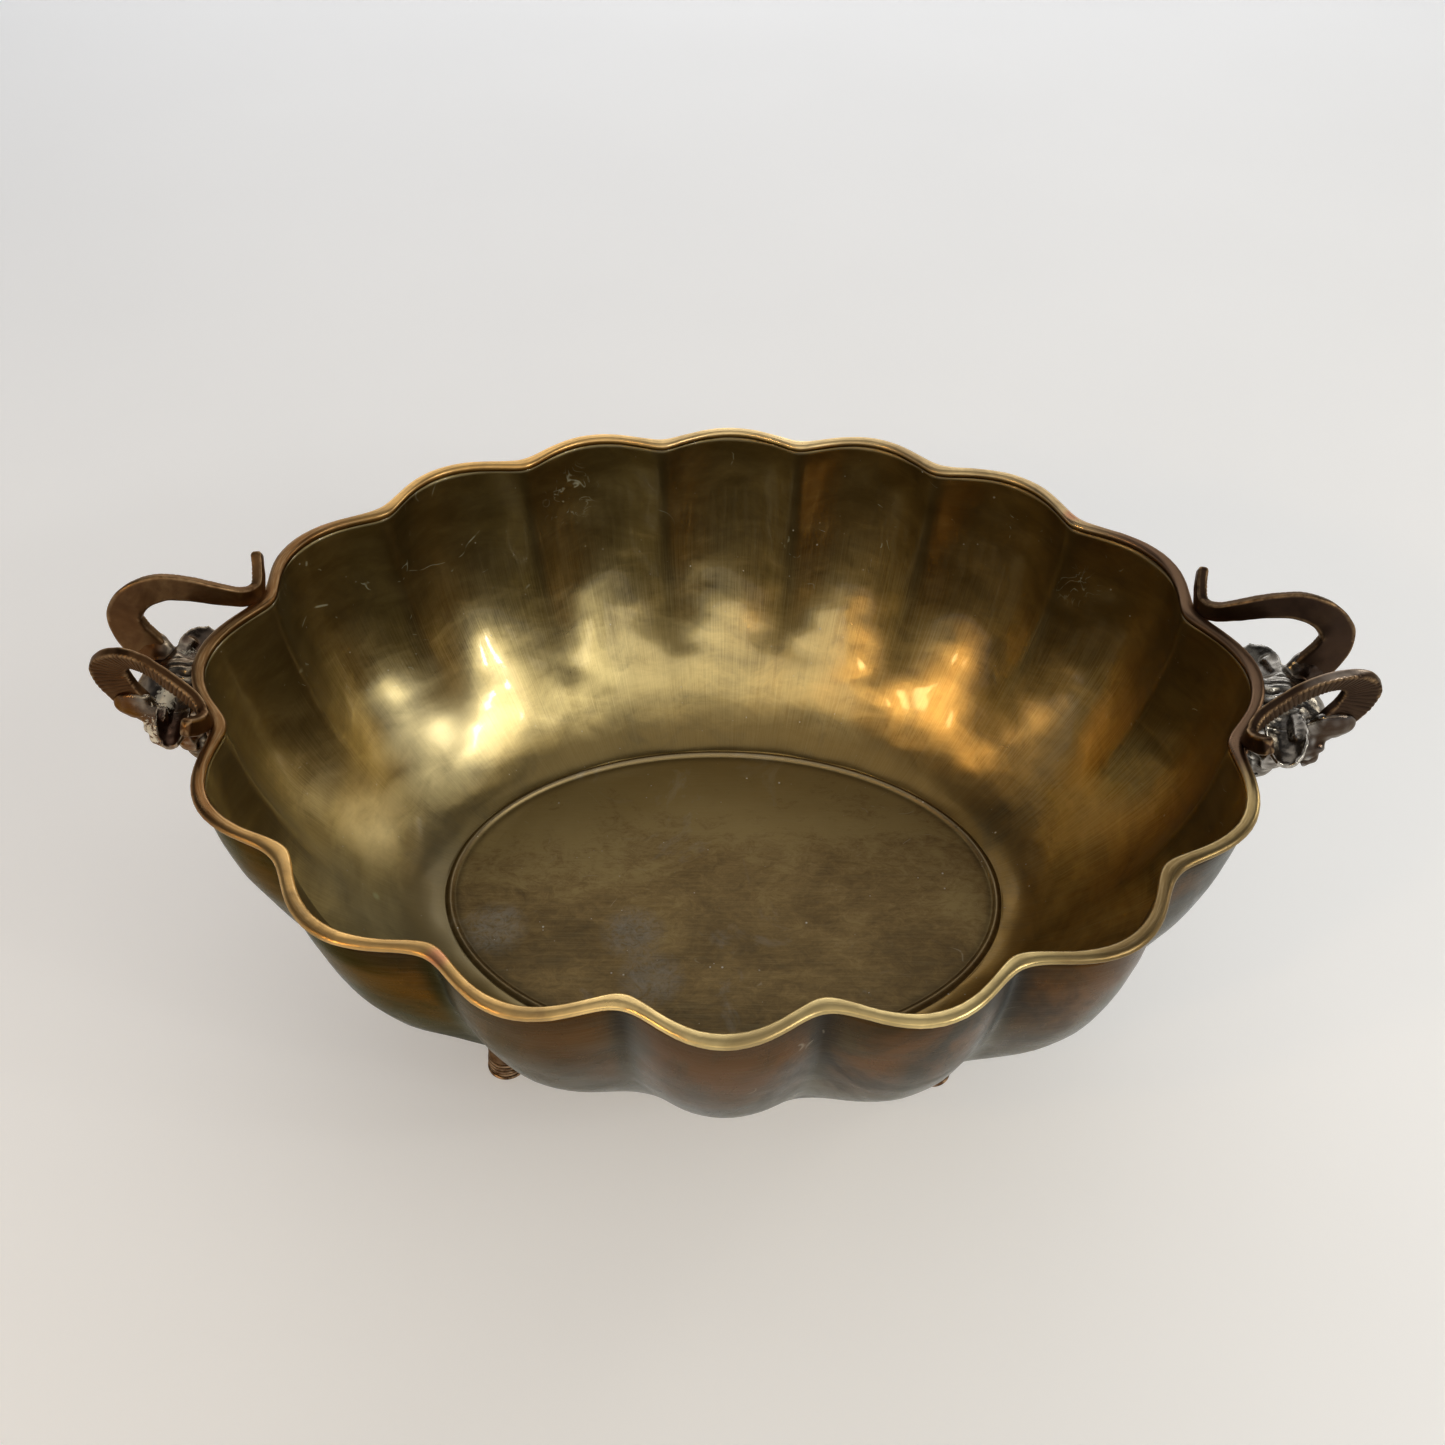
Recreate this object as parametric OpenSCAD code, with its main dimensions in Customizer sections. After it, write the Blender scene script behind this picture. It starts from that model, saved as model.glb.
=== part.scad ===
/* [Bowl] */
// Half length of the oval that the valleys between the flutes stand on, at the lip
valley_half_length = 242; // [225:1:260]
// Half width of that oval
valley_half_width = 195.5; // [180:0.5:205]
// How far each flute swells out beyond that oval at the lip
flute_rise = 14; // [6:1:18]
// Height of the lip above the surface that the bowl stands on
rim_height = 205; // [195:1:215]
// Depth of the bowl from the lip to the flat floor
bowl_depth = 172; // [165:1:176]
// Thickness of the wall and of the floor
wall = 2.6; // [2:0.1:3.5]

/* [Lip] */
// Width of the band brazed round the top of the wall
lip_width = 6.4; // [5:0.2:8]
// Height of that band
lip_height = 5; // [4:0.5:7]

/* [Floor] */
// Half length of the raised bead round the floor
bead_half_length = 156; // [145:1:165]
// Half width of the bead's oval
bead_half_width = 106; // [95:1:115]
// Width of the bead
bead_width = 3.2; // [2:0.2:4]
// Height of the bead above the floor
bead_rise = 1.6; // [1:0.2:2.5]

/* [Feet] */
// Radius of the base of a foot
foot_radius = 10.5; // [9:0.5:12]
// Number of stacked rings on a foot
foot_rings = 4; // [3:1:5]
// Height of each ring
foot_ring_height = 2.4; // [2:0.1:2.8]
// Place of each foot round the oval, in degrees of the oval's own parameter
foot_angle = 50; // [40:1:60]

/* [Horns] */
// Thickness of the flat bar of each horn
horn_thickness = 5.2; // [4:0.2:6]
// Lean of each horn's loop away from the middle of the handle, in degrees
horn_lean = 19; // [10:1:25]

/* [Ram heads] */
// Width of the head at the brow
head_width = 42; // [36:1:44]
// Radius of the neck where it meets the wall
neck_radius = 13; // [10:1:14]

/* [Hidden] */

// Rows of points down the wall, and points round each flute
wall_rows = 10;
flute_steps = 8;
// Roundness of a valley at the lip and how much rounder it is at the floor
valley_round = 0.3;
valley_spread = 0.6;
// Shares of the way down between which the flutes fade out
fade_from = 0.42;
fade_by = 0.95;
// Powers of the wall's section: a rounded quarter, steep at the lip and flat at the floor
down_power = 1.053;
inward_power = 1.29;
// The wall stands inside the lip's middle line
wall_inset = wall;
floor_top = rim_height - bowl_depth;
// The floor plate reaches a little past the bead
plate_margin = 0.6;
plate_half_length = bead_half_length + bead_width / 2 + plate_margin;
plate_half_width = bead_half_width + bead_width / 2 + plate_margin;

// Valleys of one quarter of the lip, in degrees of the oval's parameter
quarter_valleys = [13.6, 38.4, 60.7, 80.5];
valleys = concat(
    quarter_valleys,
    [for (i = [3:-1:0]) 180 - quarter_valleys[i]],
    [for (i = [0:3]) 180 + quarter_valleys[i]],
    [for (i = [3:-1:0]) 360 - quarter_valleys[i]]
);
flute_count = len(valleys);

function clamp_share(v) = min(max(v, 0), 1);
function smooth_share(v) = let (t = clamp_share(v)) t * t * (3 - 2 * t);
function next_valley(i) = i + 1 < flute_count ? valleys[i + 1] : valleys[0] + 360;

// Stations round the bowl: [parameter in degrees, place across the flute from -1 to 1]
stations = [
    for (i = [0:flute_count - 1])
        for (j = [0:flute_steps - 1])
            let (across = -cos(180 * j / flute_steps))
                [valleys[i] + (next_valley(i) - valleys[i]) * (across + 1) / 2, across]
];

function unit(v) = v / norm(v);
function oval(a, b, s) = [a * cos(s), b * sin(s)];
function oval_normal(s) = unit([valley_half_width * cos(s), valley_half_length * sin(s)]);

// Height of a flute above the oval: a round lobe whose ends are softened by ease
function soft(v, ease) = (sqrt(v * v + ease * ease) - ease) / (sqrt(1 + ease * ease) - ease);
function lobe(across, ease) =
    let (v = soft(1 - abs(across), ease))
        flute_rise * v * (2 - v);

// Share of the way down and share of the way out, for a turn from 0 at the lip to 90 at the floor
function down_share(turn) = pow(sin(turn), down_power);
function out_share(turn) = pow(max(cos(turn), 0), inward_power);

// A point of the wall: out is 0 on the inner skin and the wall's thickness on the outer skin
function wall_point(s, across, turn, out) =
    let (
        down = down_share(turn),
        share = out_share(turn),
        fade = 1 - smooth_share((down - fade_from) / (fade_by - fade_from)),
        ease = valley_round + valley_spread * down * down,
        low = oval(plate_half_length, plate_half_width, s),
        high = oval(valley_half_length, valley_half_width, s) + oval_normal(s) * (out - wall_inset),
        xy = low + (high - low) * share + oval_normal(s) * lobe(across, ease) * share * fade
    )
        [xy[0], xy[1], rim_height - (bowl_depth + out) * down];

// Turn at which a skin is level with the underside of the lip
function lip_turn(out) = asin(pow(lip_height / (bowl_depth + out), 1 / down_power));
function turn_at(row, out) = lip_turn(out) + (90 - lip_turn(out)) * row / wall_rows;

// Closed ring of sections: every section is a closed loop with the same number of points
module ring_of_sections(sections) {
    count = len(sections);
    sides = len(sections[0]);
    polyhedron(
        points = [for (section = sections) for (p = section) p],
        faces = [
            for (i = [0:count - 1])
                for (j = [0:sides - 1])
                    let (
                        a = i * sides + j,
                        b = i * sides + (j + 1) % sides,
                        c = ((i + 1) % count) * sides + (j + 1) % sides,
                        d = ((i + 1) % count) * sides + j
                    )
                        each [[a, c, b], [a, d, c]]
        ]
    );
}

// Bar of sections with both ends capped
module bar_of_sections(sections) {
    count = len(sections);
    sides = len(sections[0]);
    polyhedron(
        points = [for (section = sections) for (p = section) p],
        faces = concat(
            [[for (j = [0:sides - 1]) sides - 1 - j]],
            [[for (j = [0:sides - 1]) (count - 1) * sides + j]],
            [
                for (i = [0:count - 2])
                    for (j = [0:sides - 1])
                        let (
                            a = i * sides + j,
                            b = i * sides + (j + 1) % sides,
                            c = (i + 1) * sides + (j + 1) % sides,
                            d = (i + 1) * sides + j
                        )
                            each [[a, b, c], [a, c, d]]
            ]
        )
    );
}

module bowl_shell() {
    color([0.34, 0.28, 0.14])
        ring_of_sections([
            for (station = stations)
                concat(
                    [for (row = [wall_rows:-1:0]) wall_point(station[0], station[1], turn_at(row, 0), 0)],
                    [for (row = [0:wall_rows]) wall_point(station[0], station[1], turn_at(row, wall), wall)]
                )
        ]);
}

// Section of the lip: flat below, rounded above, as [across, up]
lip_shoulder = lip_height * 0.6;
lip_crown = lip_height * 0.92;
lip_section = [
    [-lip_width / 2, 0],
    [-lip_width / 2, lip_shoulder],
    [-lip_width / 3, lip_crown],
    [0, lip_height],
    [lip_width / 3, lip_crown],
    [lip_width / 2, lip_shoulder],
    [lip_width / 2, 0]
];

module rim_band() {
    color([0.62, 0.46, 0.26])
        ring_of_sections([
            for (station = stations)
                [
                    for (p = lip_section)
                        let (
                            s = station[0],
                            out = lobe(station[1], valley_round) + p[0],
                            xy = oval(valley_half_length, valley_half_width, s) + oval_normal(s) * out
                        )
                            [xy[0], xy[1], rim_height - lip_height + p[1]]
                ]
        ]);
}

// Section of the bead: a low half round let into the plate, as [across, up]
bead_sink = wall / 3;
bead_edge = bead_rise * 0.2;
bead_crown = bead_rise * 0.85;
bead_section = [
    [-bead_width / 2, -bead_sink],
    [-bead_width / 2, bead_edge],
    [-bead_width / 4, bead_crown],
    [0, bead_rise],
    [bead_width / 4, bead_crown],
    [bead_width / 2, bead_edge],
    [bead_width / 2, -bead_sink]
];

module floor_plate() {
    color([0.42, 0.34, 0.18]) {
        translate([0, 0, floor_top - wall])
            linear_extrude(wall)
                polygon([for (station = stations) oval(plate_half_length, plate_half_width, station[0])]);
        ring_of_sections([
            for (station = stations)
                [
                    for (p = bead_section)
                        let (
                            s = station[0],
                            xy = oval(bead_half_length, bead_half_width, s)
                                + unit([bead_half_width * cos(s), bead_half_length * sin(s)]) * p[0]
                        )
                            [xy[0], xy[1], floor_top + p[1]]
                ]
        ]);
    }
}

// A foot is brazed under the wall at this turn of the wall's section
foot_turn = 73;
foot_top = wall_point(foot_angle, 0, foot_turn, wall);
foot_outer = wall_point(foot_angle, 0, foot_turn - 2, wall);
foot_heading = atan2(foot_outer[1] - foot_top[1], foot_outer[0] - foot_top[0]);
foot_slope = atan2(
    foot_outer[2] - foot_top[2],
    norm([foot_outer[0] - foot_top[0], foot_outer[1] - foot_top[1]])
);
// Gap that the braze fills between the foot and the wall
foot_gap = 0.5;
foot_rim_height = 2;
foot_neck_radius = foot_radius * 0.6;
foot_low_radius = foot_radius * 0.94;
foot_bulb_radius = foot_radius * 0.86;
foot_bulb_height = 13;
foot_bulb_base = foot_rim_height + foot_rings * foot_ring_height;
foot_shave = 40;

// Half outline of one bulging ring, from its foot to its top
function ring_outline(i) =
    let (
        share = i / foot_rings,
        radius = foot_low_radius + (foot_bulb_radius - foot_low_radius) * share * share,
        base = foot_rim_height + i * foot_ring_height,
        bulge = foot_ring_height * 0.3
    )
        [for (a = [-90:45:90]) [radius - bulge + bulge * cos(a), base + foot_ring_height * (1 + sin(a)) / 2]];

// Half outline of the plain bulb above the rings, which draws in to the neck
bulb_outline = [
    for (a = [0:15:90])
        [
            foot_neck_radius + (foot_bulb_radius - foot_neck_radius) * cos(a),
            foot_bulb_base + foot_bulb_height * (0.05 + 0.95 * sin(a))
        ]
];

module foot() {
    color([0.36, 0.26, 0.16])
        translate([foot_top[0], foot_top[1], 0])
            difference() {
                rotate_extrude($fn = 64)
                    polygon(concat(
                        [[0, 0], [foot_radius, 0], [foot_radius, foot_rim_height * 0.7]],
                        [for (i = [0:foot_rings - 1]) each ring_outline(i)],
                        bulb_outline,
                        [[foot_neck_radius, foot_top[2] + foot_radius], [0, foot_top[2] + foot_radius]]
                    ));
                translate([0, 0, foot_top[2] - foot_gap])
                    rotate([0, -foot_slope, foot_heading])
                        translate([-foot_shave, -foot_shave, 0])
                            cube([2 * foot_shave, 2 * foot_shave, foot_shave]);
            }
}

module foot_back_right() { foot(); }
module foot_back_left() { mirror([1, 0, 0]) foot(); }
module foot_front_right() { mirror([0, 1, 0]) foot(); }
module foot_front_left() { mirror([1, 0, 0]) mirror([0, 1, 0]) foot(); }

// Middle line of the horn at the back of the right handle, from the brow to the tip, with the bar's
// width: [out along X, back along Y, up from the lip, width]
horn_route = [
    [291.5, 19, -13, 19],
    [297, 19, -2, 18.5],
    [298, 20, 9, 17],
    [291, 23, 17.2, 15],
    [279.5, 27, 20, 13.5],
    [266, 30.5, 16.8, 12],
    [253, 35, 9.8, 10.5],
    [244.2, 40, 4.4, 9.5],
    [239.6, 47, 2.8, 9.2],
    [240, 56, 7, 8.5],
    [241.5, 64, 13.5, 8]
];
horn_steps = 3;
// The bar turns upright as it nears the lip, between these two places along Y
upright_from = 34;
upright_by = 48;
bar_chamfer = 1.2;

// Smooth curve through the route's points
function curve(p0, p1, p2, p3, t) =
    0.5 * (2 * p1 + (p2 - p0) * t + (2 * p0 - 5 * p1 + 4 * p2 - p3) * t * t
        + (3 * p1 - p0 - 3 * p2 + p3) * t * t * t);
function route_point(i, t) =
    let (last = len(horn_route) - 1)
        curve(
            horn_route[max(i - 1, 0)],
            horn_route[i],
            horn_route[min(i + 1, last)],
            horn_route[min(i + 2, last)],
            t
        );
horn_line = concat(
    [for (i = [0:len(horn_route) - 2]) for (k = [0:horn_steps - 1]) route_point(i, k / horn_steps)],
    [horn_route[len(horn_route) - 1]]
);

function place(p) = [p[0], p[1], rim_height + p[2]];
function heading(i) =
    unit(place(horn_line[min(i + 1, len(horn_line) - 1)]) - place(horn_line[max(i - 1, 0)]));
lean_normal = [0, cos(horn_lean), -sin(horn_lean)];

// Direction of the bar's width: across the leaning loop, and upright beside the lip
function width_way(i) =
    let (
        t = heading(i),
        share = clamp_share((horn_line[i][1] - upright_from) / (upright_by - upright_from)),
        loop_way = unit(cross(lean_normal, t)),
        upright_way = unit([0, 0, 1] - t * t[2])
    )
        unit(loop_way * (1 - share) + upright_way * share);

// Flat bar section with its corners taken off
function bar_section(centre, wide, thick, w, t) =
    [
        for (c = [
            [w / 2, t / 2 - bar_chamfer], [w / 2 - bar_chamfer, t / 2],
            [bar_chamfer - w / 2, t / 2], [-w / 2, t / 2 - bar_chamfer],
            [-w / 2, bar_chamfer - t / 2], [bar_chamfer - w / 2, -t / 2],
            [w / 2 - bar_chamfer, -t / 2], [w / 2, bar_chamfer - t / 2]
        ])
            centre + wide * c[0] + thick * c[1]
    ];

function horn_ring(i, back_off, grow) =
    bar_section(
        place(horn_line[i]) - heading(i) * back_off,
        width_way(i),
        cross(width_way(i), heading(i)),
        horn_line[i][3] + grow,
        horn_thickness + grow
    );

module horn() {
    color([0.3, 0.18, 0.11])
        bar_of_sections([for (i = [0:len(horn_line) - 1]) horn_ring(i, 0, 0)]);
}

module horn_right_back() { horn(); }
module horn_right_front() { mirror([0, 1, 0]) horn(); }
module horn_left_back() { mirror([1, 0, 0]) horn(); }
module horn_left_front() { mirror([1, 0, 0]) mirror([0, 1, 0]) horn(); }

// Places on the right ram head: [out along X, back along Y, up from the lip]
skull_at = [275, 0, -25];
brow_at = [284, 0, -23.5];
cheek_at = [271, 9, -42];
muzzle_at = [267, 0, -60];
neck_at = [255, 0, -22];
ear_root = [270, 17, -19];
ear_tip = [262.5, 45, -22];
skull_width = 34;
brow_height = 18;
cheek_radius = 10;
muzzle_radius = 11;
ear_thickness = 5;
ear_width = 20;
ear_flat = ear_thickness / ear_width;
// Each horn sits on a stub of the brow that is a little larger than the bar
stub_length = 15;
stub_grow = 2.4;
ball_sides = 24;

module horn_stub() {
    bar_of_sections([horn_ring(0, stub_length, stub_grow), horn_ring(0, 0, stub_grow)]);
}

// A broad flat leaf that lies out sideways and draws in to a blunt tip
module ear() {
    hull() {
        translate(place(ear_root)) scale([0.7, 0.5, ear_flat * 1.6]) sphere(d = ear_width, $fn = ball_sides);
        translate(place((2 * ear_root + ear_tip) / 3)) scale([1, 0.8, ear_flat])
            sphere(d = ear_width, $fn = ball_sides);
        translate(place(ear_tip)) sphere(d = ear_thickness, $fn = ball_sides);
    }
}

// Solid the shape of the wall behind the neck: it gives the neck a seat that fits the end flute
seat_radius = 52;
seat_fall = 8;
seat_drop = 75;
seat_gap = 1.1;

module wall_seat() {
    top = valley_half_length + flute_rise + seat_gap;
    translate([top - seat_radius, 0, rim_height - seat_drop])
        cylinder(h = seat_drop, r1 = seat_radius - seat_fall, r2 = seat_radius, $fn = 96);
}

module ram_head_right() {
    color([0.3, 0.24, 0.18])
        difference() {
            union() {
                hull() {
                    translate(place(skull_at)) sphere(d = skull_width, $fn = ball_sides);
                    translate(place(brow_at)) rotate([90, 0, 0])
                        cylinder(d = brow_height, h = head_width, center = true, $fn = ball_sides);
                    for (side = [-1, 1])
                        translate(place([cheek_at[0], side * cheek_at[1], cheek_at[2]]))
                            sphere(r = cheek_radius, $fn = ball_sides);
                    translate(place(muzzle_at)) sphere(r = muzzle_radius, $fn = ball_sides);
                }
                hull() {
                    translate(place(neck_at)) rotate([0, 90, 0])
                        cylinder(r = neck_radius, h = 2, center = true, $fn = ball_sides);
                    translate(place(skull_at)) sphere(d = skull_width - 2, $fn = ball_sides);
                }
                ear();
                mirror([0, 1, 0]) ear();
                horn_stub();
                mirror([0, 1, 0]) horn_stub();
            }
            wall_seat();
        }
}

module ram_head_left() { mirror([1, 0, 0]) ram_head_right(); }

bowl_shell();
floor_plate();
rim_band();
ram_head_left();
ram_head_right();
horn_left_front();
horn_left_back();
horn_right_front();
horn_right_back();
foot_front_left();
foot_front_right();
foot_back_left();
foot_back_right();
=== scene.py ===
import math

import bmesh
import bpy
import numpy as np
from mathutils import Matrix, Vector


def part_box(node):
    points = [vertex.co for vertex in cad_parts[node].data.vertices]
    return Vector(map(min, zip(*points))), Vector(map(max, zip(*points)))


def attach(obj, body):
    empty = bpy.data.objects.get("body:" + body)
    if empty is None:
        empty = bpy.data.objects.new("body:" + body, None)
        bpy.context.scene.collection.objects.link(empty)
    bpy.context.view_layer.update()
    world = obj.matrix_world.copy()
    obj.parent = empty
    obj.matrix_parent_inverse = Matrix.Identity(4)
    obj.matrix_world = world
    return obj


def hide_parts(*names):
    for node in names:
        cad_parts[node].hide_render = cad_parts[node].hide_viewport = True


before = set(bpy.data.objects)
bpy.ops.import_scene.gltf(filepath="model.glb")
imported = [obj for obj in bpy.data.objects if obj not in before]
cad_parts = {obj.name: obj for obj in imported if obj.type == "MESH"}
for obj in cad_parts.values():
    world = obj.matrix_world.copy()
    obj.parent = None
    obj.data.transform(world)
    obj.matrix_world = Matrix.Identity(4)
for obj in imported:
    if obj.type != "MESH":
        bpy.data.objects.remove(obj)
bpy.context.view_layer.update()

# Shapes are worked out in millimetres in the row's frame. Meshes are made in metres.
MM = 0.001
SEED = 16
scene = bpy.context.scene


def box_mm(node):
    """Lowest and highest corner of a CAD node, in millimetres."""
    low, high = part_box(node)
    return np.array(low) / MM, np.array(high) / MM


# ---------------------------------------------------------------- sizes

WALL = 2.6
FLUTE_RISE = 14.0
RIM_LOW, RIM_HIGH = box_mm("rim_band")
LIP_HEIGHT = RIM_HIGH[2] - RIM_LOW[2]
LIP_WIDTH = 6.4
RIM_HEIGHT = RIM_HIGH[2]
VALLEY_LENGTH = RIM_HIGH[0] - FLUTE_RISE - LIP_WIDTH / 2
VALLEY_WIDTH = RIM_HIGH[1] - FLUTE_RISE - LIP_WIDTH / 2
PLATE_LOW, PLATE_HIGH = box_mm("floor_plate")
PLATE_LENGTH, PLATE_WIDTH = PLATE_HIGH[0], PLATE_HIGH[1]
FLOOR_TOP = PLATE_LOW[2] + WALL
BOWL_DEPTH = RIM_HEIGHT - FLOOR_TOP
# How finely the meshes are cut: points across a flute, down the wall and round each section
FLUTE_STEPS = 28
INNER_ROWS, OUTER_ROWS = 84, 54
LIP_SIDES, FLOOR_SIDES, FOOT_SIDES = 36, 288, 72
BEAD_WIDTH = 3.2
BEAD_RISE = PLATE_HIGH[2] - FLOOR_TOP
BEAD_SPREAD = 2.7
BEAD_SHIFT = -0.5
GROOVE_GAP = 0.6
# An offset from the bead that is out of its reach
FAR = 60.0
PLATE_MARGIN = 0.6
BEAD_LENGTH_HALF = PLATE_LENGTH - BEAD_WIDTH / 2 - PLATE_MARGIN
BEAD_WIDTH_HALF = PLATE_WIDTH - BEAD_WIDTH / 2 - PLATE_MARGIN
HORN_THICKNESS = 5.2
HORN_LEAN = math.radians(19)

DOWN_POWER = 1.053
INWARD_POWER = 1.29
VALLEY_ROUND = 0.30
RIDGE_ROUND = 0.07
VALLEY_SPREAD = 0.6
FADE_FROM, FADE_BY = 0.48, 0.90

QUARTER_VALLEYS = [13.6, 38.4, 60.7, 80.5]
VALLEYS = np.radians(
    QUARTER_VALLEYS
    + [180 - v for v in reversed(QUARTER_VALLEYS)]
    + [180 + v for v in QUARTER_VALLEYS]
    + [360 - v for v in reversed(QUARTER_VALLEYS)]
)
# Each flute was beaten by hand, so some stand a little less far out than others. The list follows
# the valleys: the first flute is the one after the first valley, going round from the right end.
FLUTE_SHARES = [
    0.97, 0.95, 0.90, 0.82, 0.88, 0.96, 1.02, 1.0,
    1.04, 1.0, 0.97, 1.05, 1.0, 1.02, 0.98, 0.99,
]


# ---------------------------------------------------------------- small tools


def unit(v):
    v = np.asarray(v, float)
    return v / np.maximum(np.linalg.norm(v, axis=-1, keepdims=True), 1e-12)


def ramp(v, low, high):
    """Smooth step from 0 at low to 1 at high."""
    t = np.clip((np.asarray(v, float) - low) / (high - low), 0, 1)
    return t * t * (3 - 2 * t)


def waves(points, length, seed, count=14, stretch=(1, 1, 1)):
    """Smooth, repeatable unevenness about 0, of roughly this wavelength in millimetres."""
    rng = np.random.default_rng(SEED + seed)
    turns = unit(rng.normal(size=(count, 3))) * rng.uniform(0.6, 1.5, (count, 1)) / length
    phase = rng.uniform(0, 2 * math.pi, count)
    spots = np.asarray(points, float) / np.asarray(stretch, float)
    return np.cos(2 * math.pi * spots @ turns.T + phase).sum(-1) / math.sqrt(count)


def set_points(mesh, name, values):
    attribute = mesh.attributes.new(name, "FLOAT", "POINT")
    attribute.data.foreach_set("value", np.asarray(values, np.float32).ravel())


def set_uv(mesh, uv_of_loops):
    layer = mesh.uv_layers.new(name="flow")
    layer.data.foreach_set("uv", np.asarray(uv_of_loops, np.float32).ravel())


def make_piece(name, points, faces, materials, nodes=(), uv=None, floats=None, indices=None):
    """A mesh piece from points in millimetres. It rides on the one body and stands for nodes."""
    mesh = bpy.data.meshes.new(name)
    mesh.from_pydata((np.asarray(points) * MM).tolist(), [], [list(map(int, f)) for f in faces])
    mesh.polygons.foreach_set("use_smooth", [True] * len(mesh.polygons))
    if uv is not None:
        set_uv(mesh, uv)
    for key, values in (floats or {}).items():
        set_points(mesh, key, values)
    for material in materials:
        mesh.materials.append(material)
    if indices is not None:
        mesh.polygons.foreach_set("material_index", indices)
    shape = bmesh.new()
    shape.from_mesh(mesh)
    bmesh.ops.recalc_face_normals(shape, faces=shape.faces)
    shape.to_mesh(mesh)
    shape.free()
    mesh.validate()
    mesh.update()
    piece = bpy.data.objects.new(name, mesh)
    scene.collection.objects.link(piece)
    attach(piece, "root")
    if nodes:
        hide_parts(*nodes)


def tube_faces(rings, sides, closed):
    """Quads between rings of points. If closed, the last ring also meets the first."""
    i, j = np.meshgrid(np.arange(rings if closed else rings - 1), np.arange(sides), indexing="ij")
    near, far, beside = i * sides, (i + 1) % rings * sides, (j + 1) % sides
    return np.stack([near + j, far + j, far + beside, near + beside], -1).reshape(-1, 4)


def close_ends(points, faces, sides, begin, finish):
    """Close a tube's first and last ring with fans round two more points."""
    first, last = len(points), len(points) - sides
    fans = []
    for j in range(sides):
        k = (j + 1) % sides
        fans += [[first, j, k], [first + 1, last + k, last + j]]
    return np.vstack([points, begin, finish]), faces.tolist() + fans


def end_marks(marks, repeat=1):
    """Marks of a tube's points, with none on the two points that close its ends."""
    return {key: np.append(np.repeat(mark, repeat), [0, 0]) for key, mark in marks.items()}


def tube_uv(along, around):
    """Flow coordinates in metres for a closed tube's faces, with one value more than its rings."""
    last = len(along) - 1
    i, j = np.meshgrid(np.arange(last), np.arange(len(around) - 1), indexing="ij")
    u0, u1, v0, v1 = along[i], along[i + 1], around[j], around[j + 1]
    corners = np.stack([u0, v0, u1, v0, u1, v1, u0, v1], -1)
    return corners.reshape(-1, 2) * MM


# ---------------------------------------------------------------- the bowl's form


def soft(v, ease):
    return (np.sqrt(v * v + ease * ease) - ease) / (np.sqrt(1 + ease * ease) - ease)


def lobe(across, ease):
    v = soft(1 - np.abs(across), ease)
    return FLUTE_RISE * v * (2 - v)


def oval(length, width, s):
    return np.stack([length * np.cos(s), width * np.sin(s)], -1)


def oval_normal(s, length=VALLEY_LENGTH, width=VALLEY_WIDTH):
    return unit(np.stack([width * np.cos(s), length * np.sin(s)], -1))


def stations():
    """Parameter, place across the flute and share of the flute's rise, all the way round."""
    s, across, share = [], [], []
    count = len(VALLEYS)
    for i in range(count):
        begin = VALLEYS[i]
        end = VALLEYS[(i + 1) % count] + (2 * math.pi if i + 1 == count else 0)
        for j in range(FLUTE_STEPS):
            a = -math.cos(math.pi * j / FLUTE_STEPS)
            s.append(begin + (end - begin) * (a + 1) / 2)
            across.append(a)
            blend = float(ramp(1 - abs(a), 0, 0.5))
            share.append(1 + (FLUTE_SHARES[i] - 1) * blend)
    return np.array(s), np.array(across), np.array(share)


def round_bump(s, centre, spread):
    """1 at centre, falling to 0 over spread, both in degrees of the oval's parameter."""
    off = np.abs((np.degrees(s) - centre + 180) % 360 - 180)
    return np.exp(-((off / spread) ** 2))


# Bulges of the beaten wall: [millimetres out, degrees round the oval, spread in degrees]
BULGES = [(5.8, 311, 20), (-2.2, 226, 22), (1.6, 270, 20), (-1.4, 248, 14)]


def belly(s, down):
    """How far the beaten wall bulges past the true form, in millimetres."""
    lift = np.sin(math.pi * np.clip(down, 0, 1)) ** 1.5
    bulge = sum(out * round_bump(s, centre, spread) for out, centre, spread in BULGES)
    bulge = bulge + 0.8 * np.sin(3 * s + 1.0) + 0.5 * np.sin(5 * s + 2.1)
    return lift * bulge


def rim_sway(s):
    """Small rise and fall of the lip, in millimetres."""
    return 0.45 * np.sin(2 * s + 0.6) + 0.3 * np.sin(5 * s + 2.0) + 0.18 * np.sin(11 * s + 0.3)


def lip_turn(out):
    return math.asin((LIP_HEIGHT / (BOWL_DEPTH + out)) ** (1 / DOWN_POWER))


def wall_point(s, across, share_of_flute, turn, out):
    """Point of the wall: out is 0 on the inner skin and WALL on the outer skin."""
    down = np.sin(turn) ** DOWN_POWER
    share = np.maximum(np.cos(turn), 0) ** INWARD_POWER
    fade = 1 - ramp(down, FADE_FROM, FADE_BY)
    near_lip = np.exp(-down / 0.06)
    ease = RIDGE_ROUND + (VALLEY_ROUND - RIDGE_ROUND) * near_lip + VALLEY_SPREAD * down * down
    normal = oval_normal(s)
    low = oval(PLATE_LENGTH, PLATE_WIDTH, s)
    high = oval(VALLEY_LENGTH, VALLEY_WIDTH, s) + normal * (out - WALL)
    swell = lobe(across, ease) * share_of_flute * share * fade + belly(s, down)
    xy = low + (high - low) * share[..., None] + normal * swell[..., None]
    z = RIM_HEIGHT - (BOWL_DEPTH + out) * down + rim_sway(s) * (1 - down) ** 2
    return np.concatenate([xy, z[..., None]], -1)


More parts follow.
